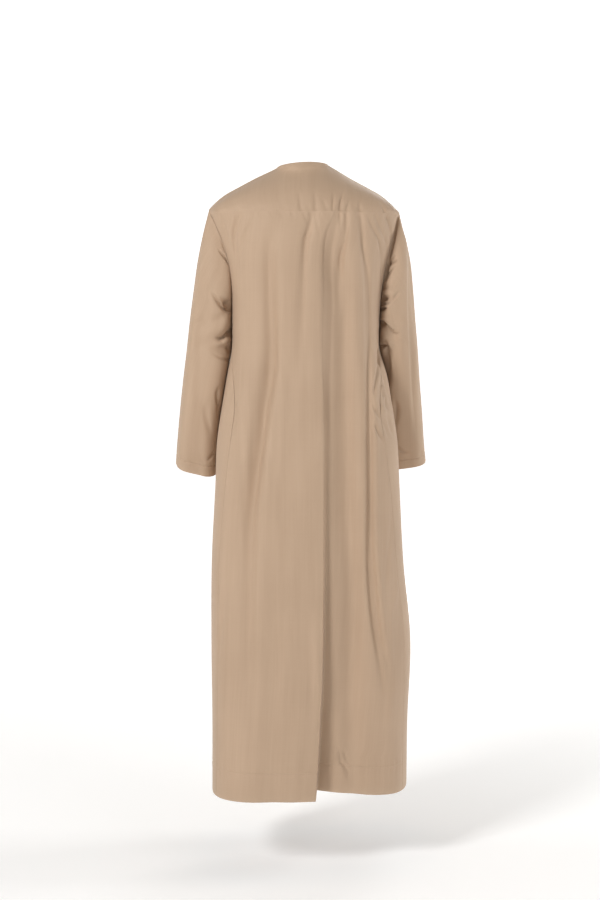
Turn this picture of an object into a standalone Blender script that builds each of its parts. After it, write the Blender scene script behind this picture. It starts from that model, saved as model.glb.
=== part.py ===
"""A long collarless robe, worn and hollow, with its back towards -Y and its neck opening round the origin.

+X is the wearer's right, +Y the way the wearer faces, +Z up. All sizes are in metres.
Every cloth piece is a thin wall: a grid bent to the garment's shape, then given the cloth's thickness inwards.
"""

import math
from collections import namedtuple

import bmesh
import bpy
import numpy as np
from mathutils import Matrix, Vector

CLOTH = 0.0012  # thickness of the cloth's wall
SEAM_INSET = 0.0003  # each panel stops this far short of its seam line
SHOULDER_INSET = 0.0006  # and this far short of the shoulder seam, where the two walls meet at an angle
SLEEVE_GAP = 0.0007  # between the armhole's line and the sleeve
SLEEVE_STEP = 0.0004  # how far outside the body's wall a sleeve starts
LAYER_GAP = 0.0003  # between a wall and a piece that lies on it
HEM_Z = -1.390
YOKE_Z = -0.112  # the back yoke's lower seam, and where the front starts to turn over the shoulder
UNDERARM_Z = -0.302
NECK_HALF = 0.058
NECK_BACK_Y = -0.058
NECK_BACK_Z = 0.004
NECK_FRONT_Y = 0.076
NECK_FRONT_Z = -0.080
NECK_CURVE = 1.3  # how quickly the neckline leaves its middle height: 1 is an ellipse
NECK_TILT = 0.003  # the neckline's right end is this much higher than its middle, the left end lower
SHOULDER_DROP = 0.54  # how much the shoulder line falls for each metre away from the neck
SHOULDER_ROUND = 6.2  # and how much more it falls per square metre past the straight part
SHOULDER_STRAIGHT = 0.165
RIDGE_SLOPE = 17.0  # how steeply the cloth leaves the shoulder line, in degrees
NECK_SLOPE_BACK = 62.0  # and how steeply it leaves the neckline behind and in front
NECK_SLOPE_FRONT = 50.0

# Sections of the body, from the yoke seam to the hem. left and right are the widest points' x, back and front the
# depths in the middle, square the corners' sharpness (2 is an ellipse), skew how far the right side is turned forward.
Section = namedtuple("Section", "z left right back front square skew")
BODY = (
    Section(-0.112, -0.211, 0.219, -0.122, 0.098, 2.30, 0.000),
    Section(-0.170, -0.190, 0.205, -0.130, 0.112, 2.40, 0.000),
    Section(-0.235, -0.171, 0.190, -0.134, 0.119, 2.45, 0.000),
    Section(-0.302, -0.1605, 0.178, -0.135, 0.122, 2.50, 0.000),
    Section(-0.410, -0.1620, 0.173, -0.132, 0.123, 2.50, 0.000),
    Section(-0.530, -0.180, 0.192, -0.134, 0.126, 2.55, 0.000),
    Section(-0.620, -0.192, 0.211, -0.141, 0.129, 2.60, 0.002),
    Section(-0.710, -0.1965, 0.219, -0.148, 0.131, 2.65, 0.004),
    Section(-0.890, -0.2045, 0.228, -0.160, 0.136, 2.80, 0.010),
    Section(-1.070, -0.2045, 0.244, -0.172, 0.143, 3.00, 0.017),
    Section(-1.250, -0.2015, 0.237, -0.185, 0.152, 3.15, 0.025),
    Section(-1.390, -0.2010, 0.235, -0.195, 0.160, 3.30, 0.030),
)

# How far behind (back panel) the widest point the side seam runs, in degrees round the section.
SeamPlace = namedtuple("SeamPlace", "z angle")
SIDE_SEAM = (
    SeamPlace(-0.302, 0.0),
    SeamPlace(-0.365, 4.0),
    SeamPlace(-0.412, 11.0),
    SeamPlace(-0.460, 23.0),
    SeamPlace(-0.505, 33.0),
    SeamPlace(-0.554, 38.0),
    SeamPlace(-0.600, 38.0),
    SeamPlace(-0.720, 33.0),
    SeamPlace(-1.000, 29.0),
    SeamPlace(-1.390, 26.0),
)
ARMHOLE_TOP_ANGLE = 18.0  # the armhole's edge at the yoke seam, in degrees round the section
ARMHOLE_DEEP_ANGLE = 25.5  # and where it is cut deepest
ARMHOLE_DEEP_Z = -0.205

# Pocket mouths in the side seams, which gape a little.
POCKET_TOP_Z = -0.415
POCKET_END_Z = -0.620
POCKET_GAPE = 0.012
POCKET_CURVE = 0.8
FACING_GAP = 0.0004  # between the panels' walls and the pocket's facing

# The deep fold down the middle of the back: left of its line the cloth stands out, right of it the cloth drops in by
# depth within the given width and comes back over reach.
Step = namedtuple("Step", "z x depth width reach")
MIDDLE_FOLD = (
    Step(-0.112, 0.0745, 0.003, 0.018, 0.030),
    Step(-0.185, 0.0590, 0.007, 0.018, 0.045),
    Step(-0.308, 0.0560, 0.009, 0.022, 0.055),
    Step(-0.527, 0.0530, 0.012, 0.020, 0.075),
    Step(-0.746, 0.0500, 0.022, 0.015, 0.105),
    Step(-0.960, 0.0470, 0.040, 0.011, 0.145),
    Step(-1.170, 0.0420, 0.064, 0.009, 0.175),
    Step(-1.390, 0.0300, 0.097, 0.008, 0.205),
)
FOLD_FADE = 1.4  # how the right side's drop dies away over its reach: 1 is evenly

# The other large folds, as soft troughs: where each runs and how deep it is there.
Trough = namedtuple("Trough", "z x depth")
BACK_FOLDS = {
    "left_valley": (
        0.013,
        (
            Trough(-0.130, -0.066, 0.000),
            Trough(-0.231, -0.078, 0.006),
            Trough(-0.310, -0.081, 0.010),
            Trough(-0.483, -0.092, 0.013),
            Trough(-0.614, -0.107, 0.013),
            Trough(-0.720, -0.118, 0.010),
            Trough(-0.960, -0.121, 0.006),
            Trough(-1.120, -0.120, 0.000),
        ),
    ),
    "shoulder_valley_left": (
        0.009,
        (
            Trough(-0.112, -0.142, 0.002),
            Trough(-0.165, -0.152, 0.004),
            Trough(-0.210, -0.148, 0.003),
            Trough(-0.290, -0.146, 0.000),
        ),
    ),
    "centre_valley": (
        0.010,
        (
            Trough(-0.112, 0.026, 0.002),
            Trough(-0.170, 0.008, 0.005),
            Trough(-0.231, 0.001, 0.004),
            Trough(-0.373, -0.005, 0.003),
            Trough(-0.480, -0.008, 0.000),
        ),
    ),
    "right_inner_valley": (
        0.012,
        (
            Trough(-0.112, 0.097, 0.002),
            Trough(-0.176, 0.091, 0.004),
            Trough(-0.264, 0.086, 0.005),
            Trough(-0.373, 0.097, 0.005),
            Trough(-0.483, 0.106, 0.006),
            Trough(-0.700, 0.107, 0.005),
            Trough(-0.877, 0.108, 0.004),
            Trough(-1.000, 0.110, 0.000),
        ),
    ),
    "right_valley": (
        0.010,
        (
            Trough(-0.112, 0.124, 0.003),
            Trough(-0.178, 0.134, 0.005),
            Trough(-0.247, 0.141, 0.006),
            Trough(-0.373, 0.144, 0.005),
            Trough(-0.527, 0.148, 0.006),
            Trough(-0.746, 0.150, 0.010),
            Trough(-0.897, 0.151, 0.011),
            Trough(-1.000, 0.158, 0.010),
            Trough(-1.085, 0.169, 0.007),
            Trough(-1.200, 0.180, 0.000),
        ),
    ),
    "left_hem_wave": (
        0.030,
        (
            Trough(-0.860, -0.060, 0.000),
            Trough(-1.100, -0.063, 0.004),
            Trough(-1.390, -0.066, 0.006),
        ),
    ),
    "right_hem_wave": (
        0.026,
        (
            Trough(-1.000, 0.105, 0.000),
            Trough(-1.200, 0.108, 0.006),
            Trough(-1.390, 0.112, 0.007),
        ),
    ),
}
FRONT_FOLDS = {
    "front_left_valley": (
        0.017,
        (
            Trough(-0.300, -0.075, 0.000),
            Trough(-0.480, -0.082, 0.007),
            Trough(-0.800, -0.090, 0.013),
            Trough(-1.100, -0.098, 0.017),
            Trough(-1.390, -0.105, 0.020),
        ),
    ),
    "front_left_inner_valley": (
        0.015,
        (
            Trough(-0.560, -0.030, 0.000),
            Trough(-0.850, -0.034, 0.008),
            Trough(-1.390, -0.040, 0.013),
        ),
    ),
    "front_right_inner_valley": (
        0.016,
        (
            Trough(-0.420, 0.042, 0.000),
            Trough(-0.800, 0.046, 0.010),
            Trough(-1.390, 0.052, 0.016),
        ),
    ),
    "front_right_valley": (
        0.017,
        (
            Trough(-0.290, 0.088, 0.000),
            Trough(-0.500, 0.098, 0.008),
            Trough(-0.850, 0.112, 0.015),
            Trough(-1.390, 0.125, 0.021),
        ),
    ),
    "front_left_side_valley": (
        0.014,
        (
            Trough(-0.700, -0.165, 0.000),
            Trough(-1.000, -0.168, 0.007),
            Trough(-1.390, -0.170, 0.011),
        ),
    ),
    "front_right_side_valley": (
        0.014,
        (
            Trough(-0.700, 0.182, 0.000),
            Trough(-1.050, 0.192, 0.008),
            Trough(-1.390, 0.192, 0.012),
        ),
    ),
    "left_chest_drag": (
        0.012,
        (
            Trough(-0.150, -0.110, 0.000),
            Trough(-0.200, -0.122, 0.004),
            Trough(-0.270, -0.128, 0.004),
            Trough(-0.360, -0.128, 0.000),
        ),
    ),
    "right_chest_drag": (
        0.012,
        (
            Trough(-0.150, 0.118, 0.000),
            Trough(-0.200, 0.132, 0.004),
            Trough(-0.270, 0.140, 0.004),
            Trough(-0.360, 0.142, 0.000),
        ),
    ),
}

# Sleeve sections from the armhole to the cuff: the outer and inner points seen from behind, the middle's y, the half
# depth, and how far the section is tipped up in front where the forearm swings forward.
Ring = namedtuple("Ring", "outer_x outer_z inner_x inner_z mid_y half_depth tip")
LEFT_SLEEVE = (
    Ring(-0.211, -0.093, -0.1605, -0.302, 0.000, 0.066, 0.0),
    Ring(-0.219, -0.125, -0.1615, -0.314, 0.000, 0.069, 0.0),
    Ring(-0.228, -0.165, -0.1620, -0.330, 0.000, 0.070, 0.0),
    Ring(-0.2385, -0.220, -0.1625, -0.355, 0.000, 0.068, 0.0),
    Ring(-0.247, -0.280, -0.1630, -0.385, 0.001, 0.065, 1.0),
    Ring(-0.255, -0.340, -0.1650, -0.420, 0.004, 0.061, 3.0),
    Ring(-0.263, -0.410, -0.1710, -0.462, 0.011, 0.058, 7.0),
    Ring(-0.272, -0.480, -0.1800, -0.515, 0.022, 0.055, 11.0),
    Ring(-0.280, -0.550, -0.1880, -0.574, 0.037, 0.053, 15.0),
    Ring(-0.287, -0.617, -0.1935, -0.636, 0.053, 0.051, 18.0),
    Ring(-0.292, -0.672, -0.1965, -0.692, 0.067, 0.050, 20.0),
)
RIGHT_SLEEVE = (
    Ring(0.219, -0.093, 0.1780, -0.302, 0.000, 0.066, 0.0),
    Ring(0.2265, -0.130, 0.1795, -0.314, 0.000, 0.069, 0.0),
    Ring(0.236, -0.170, 0.1792, -0.330, 0.001, 0.070, 0.0),
    Ring(0.246, -0.225, 0.1775, -0.355, 0.004, 0.068, 0.0),
    Ring(0.252, -0.285, 0.1762, -0.385, 0.009, 0.065, 2.0),
    Ring(0.257, -0.345, 0.1762, -0.420, 0.018, 0.061, 5.0),
    Ring(0.263, -0.410, 0.1810, -0.462, 0.034, 0.058, 9.0),
    Ring(0.269, -0.480, 0.1885, -0.515, 0.056, 0.055, 12.0),
    Ring(0.276, -0.550, 0.1940, -0.572, 0.080, 0.053, 14.0),
    Ring(0.282, -0.620, 0.1975, -0.632, 0.103, 0.051, 15.0),
    Ring(0.288, -0.670, 0.2005, -0.682, 0.124, 0.050, 15.0),
)
ARMHOLE_BLEND_RINGS = 3.0  # the armhole's own outline dies away over this many sections
# Elbow creases across the sleeve: height on the sleeve, place round it in degrees from the outer side over the back.
Crease = namedtuple("Crease", "z angle depth half_height half_angle slope")
ELBOW_CREASES = (
    Crease(-0.345, 110.0, 0.0050, 0.012, 34.0, 0.022),
    Crease(-0.385, 118.0, 0.0060, 0.012, 38.0, 0.026),
    Crease(-0.425, 128.0, 0.0040, 0.013, 36.0, -0.016),
    Crease(-0.330, 235.0, 0.0040, 0.014, 30.0, -0.020),
    Crease(-0.400, 260.0, 0.0050, 0.015, 45.0, 0.012),
    Crease(-0.450, 265.0, 0.0040, 0.015, 45.0, -0.010),
)

# Numbers of grid cells.
BACK_LEFT_CELLS, BACK_FOLD_CELLS, BACK_RIGHT_CELLS = 19, 4, 15
FRONT_CELLS = 32
SKIRT_CELLS = 9  # rows from the hem to the pockets' lower ends
WAIST_CELLS = 10  # from there to the underarms
ARMHOLE_CELLS, SHOULDER_BLADE_CELLS = 5, 3
UNDERARM_ROW = SKIRT_CELLS + WAIST_CELLS
FACING_ROWS = slice(SKIRT_CELLS, UNDERARM_ROW - 2)
SHOULDER_CELLS = 5
SLEEVE_LONG_CELLS = 16
SLEEVE_LENGTHS = (  # each length's name, its first row and its last row
    ("upper", 0, 7),
    ("elbow", 7, 11),
    ("lower", 11, SLEEVE_LONG_CELLS),
)
WELD = 1e-6
DENSE = 361  # samples of a section before it is cut into cells
EDGE_SHARE = 0.5  # the share of a panel's columns that move with its armhole or pocket edge
SHOULDER_PULL = 0.36  # how far the shoulder's curve keeps its end directions

# The front placket and its buttons.
PLACKET_CELLS = 1  # columns of the front that it covers on each side of the middle
PLACKET_FIRST_ROW = UNDERARM_ROW - 2
PLACKET_CLOTH = 0.0012
BUTTON_RADIUS = 0.0057
BUTTON_THICK = 0.0024
BUTTON_RIM = 0.0006
BUTTON_LIFT = 0.0002  # clear of the placket's curve
BUTTON_FACETS = 24
BUTTON_FIRST_Z = -0.100
BUTTON_PITCH = 0.074
BUTTONS = 4

SAND = (0.545, 0.400, 0.275, 1.0)
BUTTON_SAND = (0.480, 0.350, 0.240, 1.0)


def clear_scene():
    for old in list(bpy.data.objects):
        bpy.data.objects.remove(old)


def smooth_table(rows, column, z):
    """The named column of a table of sections at any height, on a smooth curve through its rows."""
    heights = np.array([row.z for row in rows])[::-1]
    values = np.array([getattr(row, column) for row in rows])[::-1]
    slopes = np.gradient(values, heights)
    z = np.clip(z, heights[0], heights[-1])
    cell = np.clip(np.searchsorted(heights, z) - 1, 0, len(heights) - 2)
    span = heights[cell + 1] - heights[cell]
    t = (z - heights[cell]) / span
    start = values[cell] * (2 * t**3 - 3 * t**2 + 1) + slopes[cell] * span * (t**3 - 2 * t**2 + t)
    return start + values[cell + 1] * (3 * t**2 - 2 * t**3) + slopes[cell + 1] * span * (t**3 - t**2)


def smooth_step(t):
    t = np.clip(t, 0.0, 1.0)
    return t * t * (3.0 - 2.0 * t)


def section_points(z, angles):
    """Points of the body's section at height z. angles run from the right side (0) counterclockwise seen from above,
    so they are negative over the back."""
    left, right = smooth_table(BODY, "left", z), smooth_table(BODY, "right", z)
    depth = np.where(np.sin(angles) < 0, -smooth_table(BODY, "back", z), smooth_table(BODY, "front", z))
    power = 2.0 / smooth_table(BODY, "square", z)
    across = np.sign(np.cos(angles)) * np.abs(np.cos(angles)) ** power
    along = np.sign(np.sin(angles)) * np.abs(np.sin(angles)) ** power
    x = (left + right) / 2 + (right - left) / 2 * across
    return np.stack([x, depth * along + smooth_table(BODY, "skew", z) * across, np.full_like(x, z)], axis=-1)


def seam_angle(z):
    """Where the side seam or, above the underarm, the armhole's edge lies: degrees behind the widest point."""
    if z <= UNDERARM_Z:
        return float(smooth_table(SIDE_SEAM, "angle", z))
    if z < ARMHOLE_DEEP_Z:
        down = (ARMHOLE_DEEP_Z - z) / (ARMHOLE_DEEP_Z - UNDERARM_Z)
        return ARMHOLE_DEEP_ANGLE * math.sqrt(max(0.0, 1 - down * down))
    up = (z - ARMHOLE_DEEP_Z) / (YOKE_Z - ARMHOLE_DEEP_Z)
    return ARMHOLE_DEEP_ANGLE + (ARMHOLE_TOP_ANGLE - ARMHOLE_DEEP_ANGLE) * up * up


def pocket_gape(z):
    """How wide the pocket's mouth stands open at height z."""
    down = (POCKET_TOP_Z - z) / (POCKET_TOP_Z - POCKET_END_Z)
    return POCKET_GAPE * math.sin(math.pi * down) ** POCKET_CURVE if 0 < down < 1 else 0.0


def arc_lengths(points):
    steps = np.linalg.norm(np.diff(points, axis=0), axis=1)
    return np.concatenate([[0.0], np.cumsum(steps)])


def inward(points):
    """Level unit vectors that point into the body from a section's points."""
    along = np.gradient(points[:, :2], axis=0)
    across = np.stack([-along[:, 1], along[:, 0], np.zeros(len(along))], axis=-1)
    return across / np.linalg.norm(across, axis=1)[:, None]


def points_at(arcs, curve, at):
    return np.stack([np.interp(at, arcs, curve[:, k]) for k in range(3)], axis=-1)


def folded(points, folds, z):
    """A section's points moved in by the troughs that cross it."""
    arcs = arc_lengths(points)
    sides = sorted((int(points[:, 0].argmin()), int(points[:, 0].argmax())))
    facing = slice(sides[0], sides[1] + 1)
    order = np.argsort(points[facing, 0])
    depth = np.zeros(len(points))
    for width, path in folds.values():
        if not path[-1].z <= z <= path[0].z:
            continue
        middle = np.interp(smooth_table(path, "x", z), points[facing, 0][order], arcs[facing][order])
        trough = max(0.0, float(smooth_table(path, "depth", z)))
        depth += trough * np.exp(-(((arcs - middle) / width) ** 2))
    return points + inward(points) * depth[:, None]


def edges_moved_in(at, arcs, cut_first, cut_last):
    """Places along a section with the outer columns moved in so that the first and last lie on the panel's edges."""
    share = (at - at[0]) / (at[-1] - at[0])
    first = np.clip(1 - share / EDGE_SHARE, 0, 1) ** 2
    last = np.clip(1 - (1 - share) / EDGE_SHARE, 0, 1) ** 2
    return at + first * (cut_first - at[0]) + last * (cut_last - at[-1])


def back_section(z):
    """The back panel's section from its left edge to its right one, with its folds."""
    angles = np.linspace(-math.pi, 0.0, DENSE)
    base = section_points(z, angles)
    arcs = arc_lengths(base)
    line = float(smooth_table(MIDDLE_FOLD, "x", z))
    depth = float(smooth_table(MIDDLE_FOLD, "depth", z))
    width = float(smooth_table(MIDDLE_FOLD, "width", z))
    reach = float(smooth_table(MIDDLE_FOLD, "reach", z))
    start = np.interp(line - width / 2, base[:, 0], arcs)
    end = np.interp(line + width / 2, base[:, 0], arcs)
    at = np.concatenate(
        [
            np.linspace(0.0, start, BACK_LEFT_CELLS + 1)[:-1],
            np.linspace(start, end, BACK_FOLD_CELLS + 1)[:-1],
            np.linspace(end, arcs[-1], BACK_RIGHT_CELLS + 1),
        ]
    )
    edge = math.radians(seam_angle(z))
    at = edges_moved_in(at, arcs, np.interp(edge - math.pi, angles, arcs), np.interp(-edge, angles, arcs))
    points = folded(points_at(arcs, base, at), BACK_FOLDS, z)
    drop = smooth_step((at - start) / (end - start))
    back_out = (1.0 - np.clip((at - end) / reach, 0.0, 1.0)) ** FOLD_FADE
    points[:, 1] += depth * drop * back_out
    return points


def front_section(z):
    """The front panel's section from its right edge to its left one, with its folds."""
    behind = math.radians(seam_angle(z)) * (1 if z < UNDERARM_Z else -1)
    angles = np.linspace(min(-behind, 0.0), max(math.pi + behind, math.pi), DENSE)
    base = section_points(z, angles)
    arcs = arc_lengths(base)
    gape = pocket_gape(z)
    first, last = np.interp(-behind, angles, arcs) + gape, np.interp(math.pi + behind, angles, arcs) - gape
    at = edges_moved_in(np.linspace(0.0, arcs[-1], FRONT_CELLS + 1), arcs, first, last)
    return folded(points_at(arcs, base, at), FRONT_FOLDS, z)


def ridge_z(x):
    """Height of the shoulder line at a distance x from the middle."""
    past = max(0.0, abs(x) - SHOULDER_STRAIGHT)
    tilt = NECK_TILT * math.copysign(1 - smooth_step((abs(x) - NECK_HALF) / NECK_HALF), x)
    return tilt - SHOULDER_DROP * (abs(x) - NECK_HALF) - SHOULDER_ROUND * past**2


def neck_point(x, side):
    """The point of the neckline at a distance x from the middle."""
    middle = math.sqrt(max(0.0, 1 - (x / NECK_HALF) ** 2))
    deep, low = (NECK_BACK_Y, NECK_BACK_Z) if side < 0 else (NECK_FRONT_Y, NECK_FRONT_Z)
    return np.array([x, deep * middle, low * middle**NECK_CURVE + NECK_TILT * x / NECK_HALF])


def shoulder_ends(lower, side):
    """Where each column that ends at the points lower meets the shoulder line or the neckline, and the direction in
    which the cloth comes down from there."""
    x = lower[:, 0]
    on_neck = np.flatnonzero(np.abs(x) < NECK_HALF)
    start, end = on_neck[0] - 1, on_neck[-1] + 1
    tips = (smooth_table(BODY, "left", YOKE_Z), smooth_table(BODY, "right", YOKE_Z))
    ends, leave = [], []
    for column in range(len(x)):
        slope = RIDGE_SLOPE
        if start < column < end:
            place = neck_point(x[column], side)
            steep = NECK_SLOPE_BACK if side < 0 else NECK_SLOPE_FRONT
            slope += (steep - slope) * abs(place[1] / (NECK_BACK_Y if side < 0 else NECK_FRONT_Y))
        else:
            near, far = (start, 0) if column <= start else (end, len(x) - 1)
            share = (column - near) / (far - near)
            tip = tips[1] if x[column] > 0 else tips[0]
            across = math.copysign(NECK_HALF, tip) * (1 - share) + tip * share
            place = np.array([across, 0.0, ridge_z(across)])
        ends.append(place)
        leave.append([0.0, side * math.cos(math.radians(slope)), -math.sin(math.radians(slope))])
    return np.array(ends), np.array(leave)


def shoulder_rows(lower, below, side):
    """Rows of points from a panel's upper section over the shoulder to the top edge, smooth with the row below."""
    ends, leave = shoulder_ends(lower, side)
    rise = lower - below
    rise /= np.linalg.norm(rise, axis=1)[:, None]
    pull = np.linalg.norm(ends - lower, axis=1)[:, None] * SHOULDER_PULL
    first, last = lower + rise * pull, ends + leave * pull
    rows = []
    for t in np.linspace(0.0, 1.0, SHOULDER_CELLS + 1):
        near, far = (1 - t) ** 3 * lower + 3 * t * (1 - t) ** 2 * first, 3 * t**2 * (1 - t) * last + t**3 * ends
        rows.append(near + far)
    return np.array(rows)


def panel_heights():
    """Heights of the panels' rows from the hem to the yoke seam, closer together round the underarm."""
    skirt = np.linspace(HEM_Z, POCKET_END_Z, SKIRT_CELLS + 1)
    waist = np.linspace(POCKET_END_Z, UNDERARM_Z, WAIST_CELLS + 1)
    turn = np.linspace(0.0, math.pi / 2, ARMHOLE_CELLS + 1)
    low = UNDERARM_Z + (ARMHOLE_DEEP_Z - UNDERARM_Z) * (1 - np.cos(turn))
    high = np.linspace(ARMHOLE_DEEP_Z, YOKE_Z, SHOULDER_BLADE_CELLS + 1)
    return np.concatenate([skirt, waist[1:], low[1:], high[1:]])


def pulled_in(grid, top=SEAM_INSET):
    """The grid with its border moved in, so that it stops short of its seams."""
    grid = grid.copy()
    for edge, inner, inset in ((0, 1, SEAM_INSET), (-1, -2, top)):
        step = grid[inner] - grid[edge]
        grid[edge] += inset * step / np.linalg.norm(step, axis=-1)[:, None]
    for edge, inner in ((0, 1), (-1, -2)):
        step = grid[:, inner] - grid[:, edge]
        grid[:, edge] += SEAM_INSET * step / np.linalg.norm(step, axis=-1)[:, None]
    return grid


def shortened(grid, edge, inner):
    """The grid with one of its end rows moved towards the next, so that it stops short of the cut."""
    grid = grid.copy()
    step = grid[inner] - grid[edge]
    grid[edge] += SEAM_INSET * step / np.linalg.norm(step, axis=1)[:, None]
    return grid


def cloth_piece(name, grid, cloth=CLOTH, closed=False):
    """A wall of cloth: a grid primitive whose points are moved to the given rows and columns, thickened inwards."""
    rows, columns = grid.shape[:2]
    body = bmesh.new()
    bmesh.ops.create_grid(body, x_segments=columns - 1, y_segments=rows - 1, size=0.5)
    for vertex, place in zip(body.verts, grid.reshape(-1, 3)):
        vertex.co = place
    if closed:
        bmesh.ops.remove_doubles(body, verts=body.verts, dist=WELD)
    mesh = bpy.data.meshes.new(name)
    body.to_mesh(mesh)
    body.free()
    mesh.shade_smooth()
    piece = bpy.data.objects.new(name, mesh)
    GARMENT.objects.link(piece)
    mesh.materials.append(CLOTH_MATERIAL)
    wall = piece.modifiers.new("cloth", "SOLIDIFY")
    wall.thickness = cloth
    wall.offset = -1.0
    return piece


def make_material(name, colour, roughness):
    material = bpy.data.materials.new(name)
    material.use_nodes = True
    shader = material.node_tree.nodes["Principled BSDF"]
    shader.inputs["Base Color"].default_value = colour
    shader.inputs["Roughness"].default_value = roughness
    return material


def armhole_loop(back, yoke, front, side):
    """The armhole's edge from the shoulder over the back to the underarm and up the front, moved out by the seam,
    and each point's turn round the sleeve."""

    def edge_of(grid, column):
        inner = 1 if column == 0 else -2
        out = grid[:, column] - grid[:, inner]
        return grid[:, column] + SLEEVE_GAP * out / np.linalg.norm(out, axis=1)[:, None]

    back_edge = edge_of(back[UNDERARM_ROW:], 0 if side < 0 else -1)
    yoke_edge = edge_of(yoke, 0 if side < 0 else -1)
    front_edge = edge_of(front[UNDERARM_ROW:], -1 if side < 0 else 0)
    back_edge[0] = front_edge[0] = (back_edge[0] + front_edge[0]) / 2
    yoke_edge[-1] = front_edge[-1] = (yoke_edge[-1] + front_edge[-1]) / 2
    behind = np.concatenate([yoke_edge[::-1], back_edge[::-1][1:]])
    around = [arc_lengths(half) / arc_lengths(half)[-1] for half in (behind, front_edge)]
    return np.concatenate([behind, front_edge[1:]]), math.pi * np.concatenate([around[0], 1 + around[1][1:]])


def sleeve_grid(rings, loop, turn, side):
    """The sleeve's rows of points: ovals between its outer and inner lines, fitted to the armhole at the top."""
    along = np.linspace(0.0, len(rings) - 1, SLEEVE_LONG_CELLS + 1)
    table = np.array(rings)

    def ring_at(place):
        outer_x, outer_z, inner_x, inner_z, mid_y, deep, tip = (
            np.interp(place, range(len(rings)), table[:, k]) for k in range(7)
        )
        outer, inner = np.array([outer_x, mid_y, outer_z]), np.array([inner_x, mid_y, inner_z])
        tip = math.radians(tip)
        forward = np.array([0.0, math.cos(tip), math.sin(tip)])
        middle, reach = (outer + inner) / 2, (outer - inner) / 2
        return middle + np.outer(np.cos(turn), reach) - np.outer(np.sin(turn), forward) * deep, middle

    first, _ = ring_at(0.0)
    rows = []
    for place in along:
        ring, middle = ring_at(place)
        fade = 1.0 - smooth_step(place / ARMHOLE_BLEND_RINGS)
        ring = ring + fade * (loop - first)
        out = ring - middle
        out /= np.linalg.norm(out, axis=1)[:, None]
        degrees = np.degrees(turn)
        for crease in ELBOW_CREASES:
            lift = crease.slope * np.sin(np.radians(degrees - crease.angle))
            near = np.exp(-(((ring[:, 2] - crease.z - lift) / crease.half_height) ** 2))
            round_it = np.exp(-(((degrees - crease.angle) / crease.half_angle) ** 2))
            ring = ring - out * (crease.depth * near * round_it)[:, None]
        rows.append(ring)
    grid = np.array(rows)
    grid[:, -1] = grid[:, 0]
    grid[0, :, 0] += side * SLEEVE_STEP
    return grid if side > 0 else grid[:, ::-1]


def grid_normals(grid):
    """Outward unit normals at a grid's points."""
    normals = np.cross(np.gradient(grid, axis=1), np.gradient(grid, axis=0))
    return normals / np.linalg.norm(normals, axis=-1)[..., None]


def pocket_facing(name, panels):
    """The pocket's facing, which shows in the gaping mouth: a strip just inside the edges of two panels, made from
    their own outer columns of points in the order of the panels."""
    first, second = panels
    inside = CLOTH + FACING_GAP
    strips = []
    for grid, columns in ((first, (-2, -1)), (second, (0, 1))):
        inward_grid = grid - grid_normals(grid) * inside
        strips += [inward_grid[FACING_ROWS, column] for column in columns]
    return cloth_piece(name, np.stack(strips, axis=1))


def button(name, place, out):
    """A round button with a softened edge, facing out of the placket."""
    body = bmesh.new()
    radius = BUTTON_RADIUS
    sizes = dict(cap_ends=True, segments=BUTTON_FACETS, radius1=radius, radius2=radius, depth=BUTTON_THICK)
    bmesh.ops.create_cone(body, **sizes)
    turn = Vector(out).to_track_quat("Z", "X").to_matrix().to_4x4()
    bmesh.ops.transform(body, matrix=Matrix.Translation(place) @ turn, verts=body.verts)
    mesh = bpy.data.meshes.new(name)
    body.to_mesh(mesh)
    body.free()
    mesh.shade_smooth()
    mesh.materials.append(BUTTON_MATERIAL)
    piece = bpy.data.objects.new(name, mesh)
    GARMENT.objects.link(piece)
    edge = piece.modifiers.new("edge", "BEVEL")
    edge.width = BUTTON_RIM
    edge.segments = 2
    edge.limit_method = "ANGLE"
    return piece


clear_scene()
GARMENT = bpy.data.collections.new("thobe_robe")
bpy.context.scene.collection.children.link(GARMENT)
CLOTH_MATERIAL = make_material("sand_cloth", SAND, 0.75)
BUTTON_MATERIAL = make_material("button_resin", BUTTON_SAND, 0.4)

# The panels and sleeves.
heights = panel_heights()
back_rows = np.array([back_section(z) for z in heights])
front_rows = np.array([front_section(z) for z in heights])
yoke_rows = shoulder_rows(back_rows[-1], back_rows[-2], -1)
front_rows = np.concatenate([front_rows, shoulder_rows(front_rows[-1], front_rows[-2], 1)[1:]])
back_grid, front_grid = pulled_in(back_rows), pulled_in(front_rows, SHOULDER_INSET)
cloth_piece("back", back_grid)
cloth_piece("back_yoke", pulled_in(yoke_rows, SHOULDER_INSET))
cloth_piece("front", front_grid)
for name, rings, side in (("left", LEFT_SLEEVE, -1), ("right", RIGHT_SLEEVE, 1)):
    loop, turn = armhole_loop(back_rows, yoke_rows, front_rows, side)
    sleeve = sleeve_grid(rings, loop, turn, side)
    for length_name, first, last in SLEEVE_LENGTHS:
        length = sleeve[first : last + 1]
        if first > 0:
            length = shortened(length, 0, 1)
        if last < SLEEVE_LONG_CELLS:
            length = shortened(length, -1, -2)
        cloth_piece(f"sleeve_{name}_{length_name}", length, closed=True)
pocket_facing("pocket_facing_left", (front_grid, back_grid))
pocket_facing("pocket_facing_right", (back_grid, front_grid))

# The placket lies on the front's middle columns, from its own points moved out.
middle = FRONT_CELLS // 2
columns = slice(middle - PLACKET_CELLS, middle + PLACKET_CELLS + 1)
lift = LAYER_GAP + PLACKET_CLOTH
outward = grid_normals(front_grid)[PLACKET_FIRST_ROW:, columns]
placket = front_grid[PLACKET_FIRST_ROW:, columns] + outward * lift
cloth_piece("placket", placket, PLACKET_CLOTH)

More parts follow.
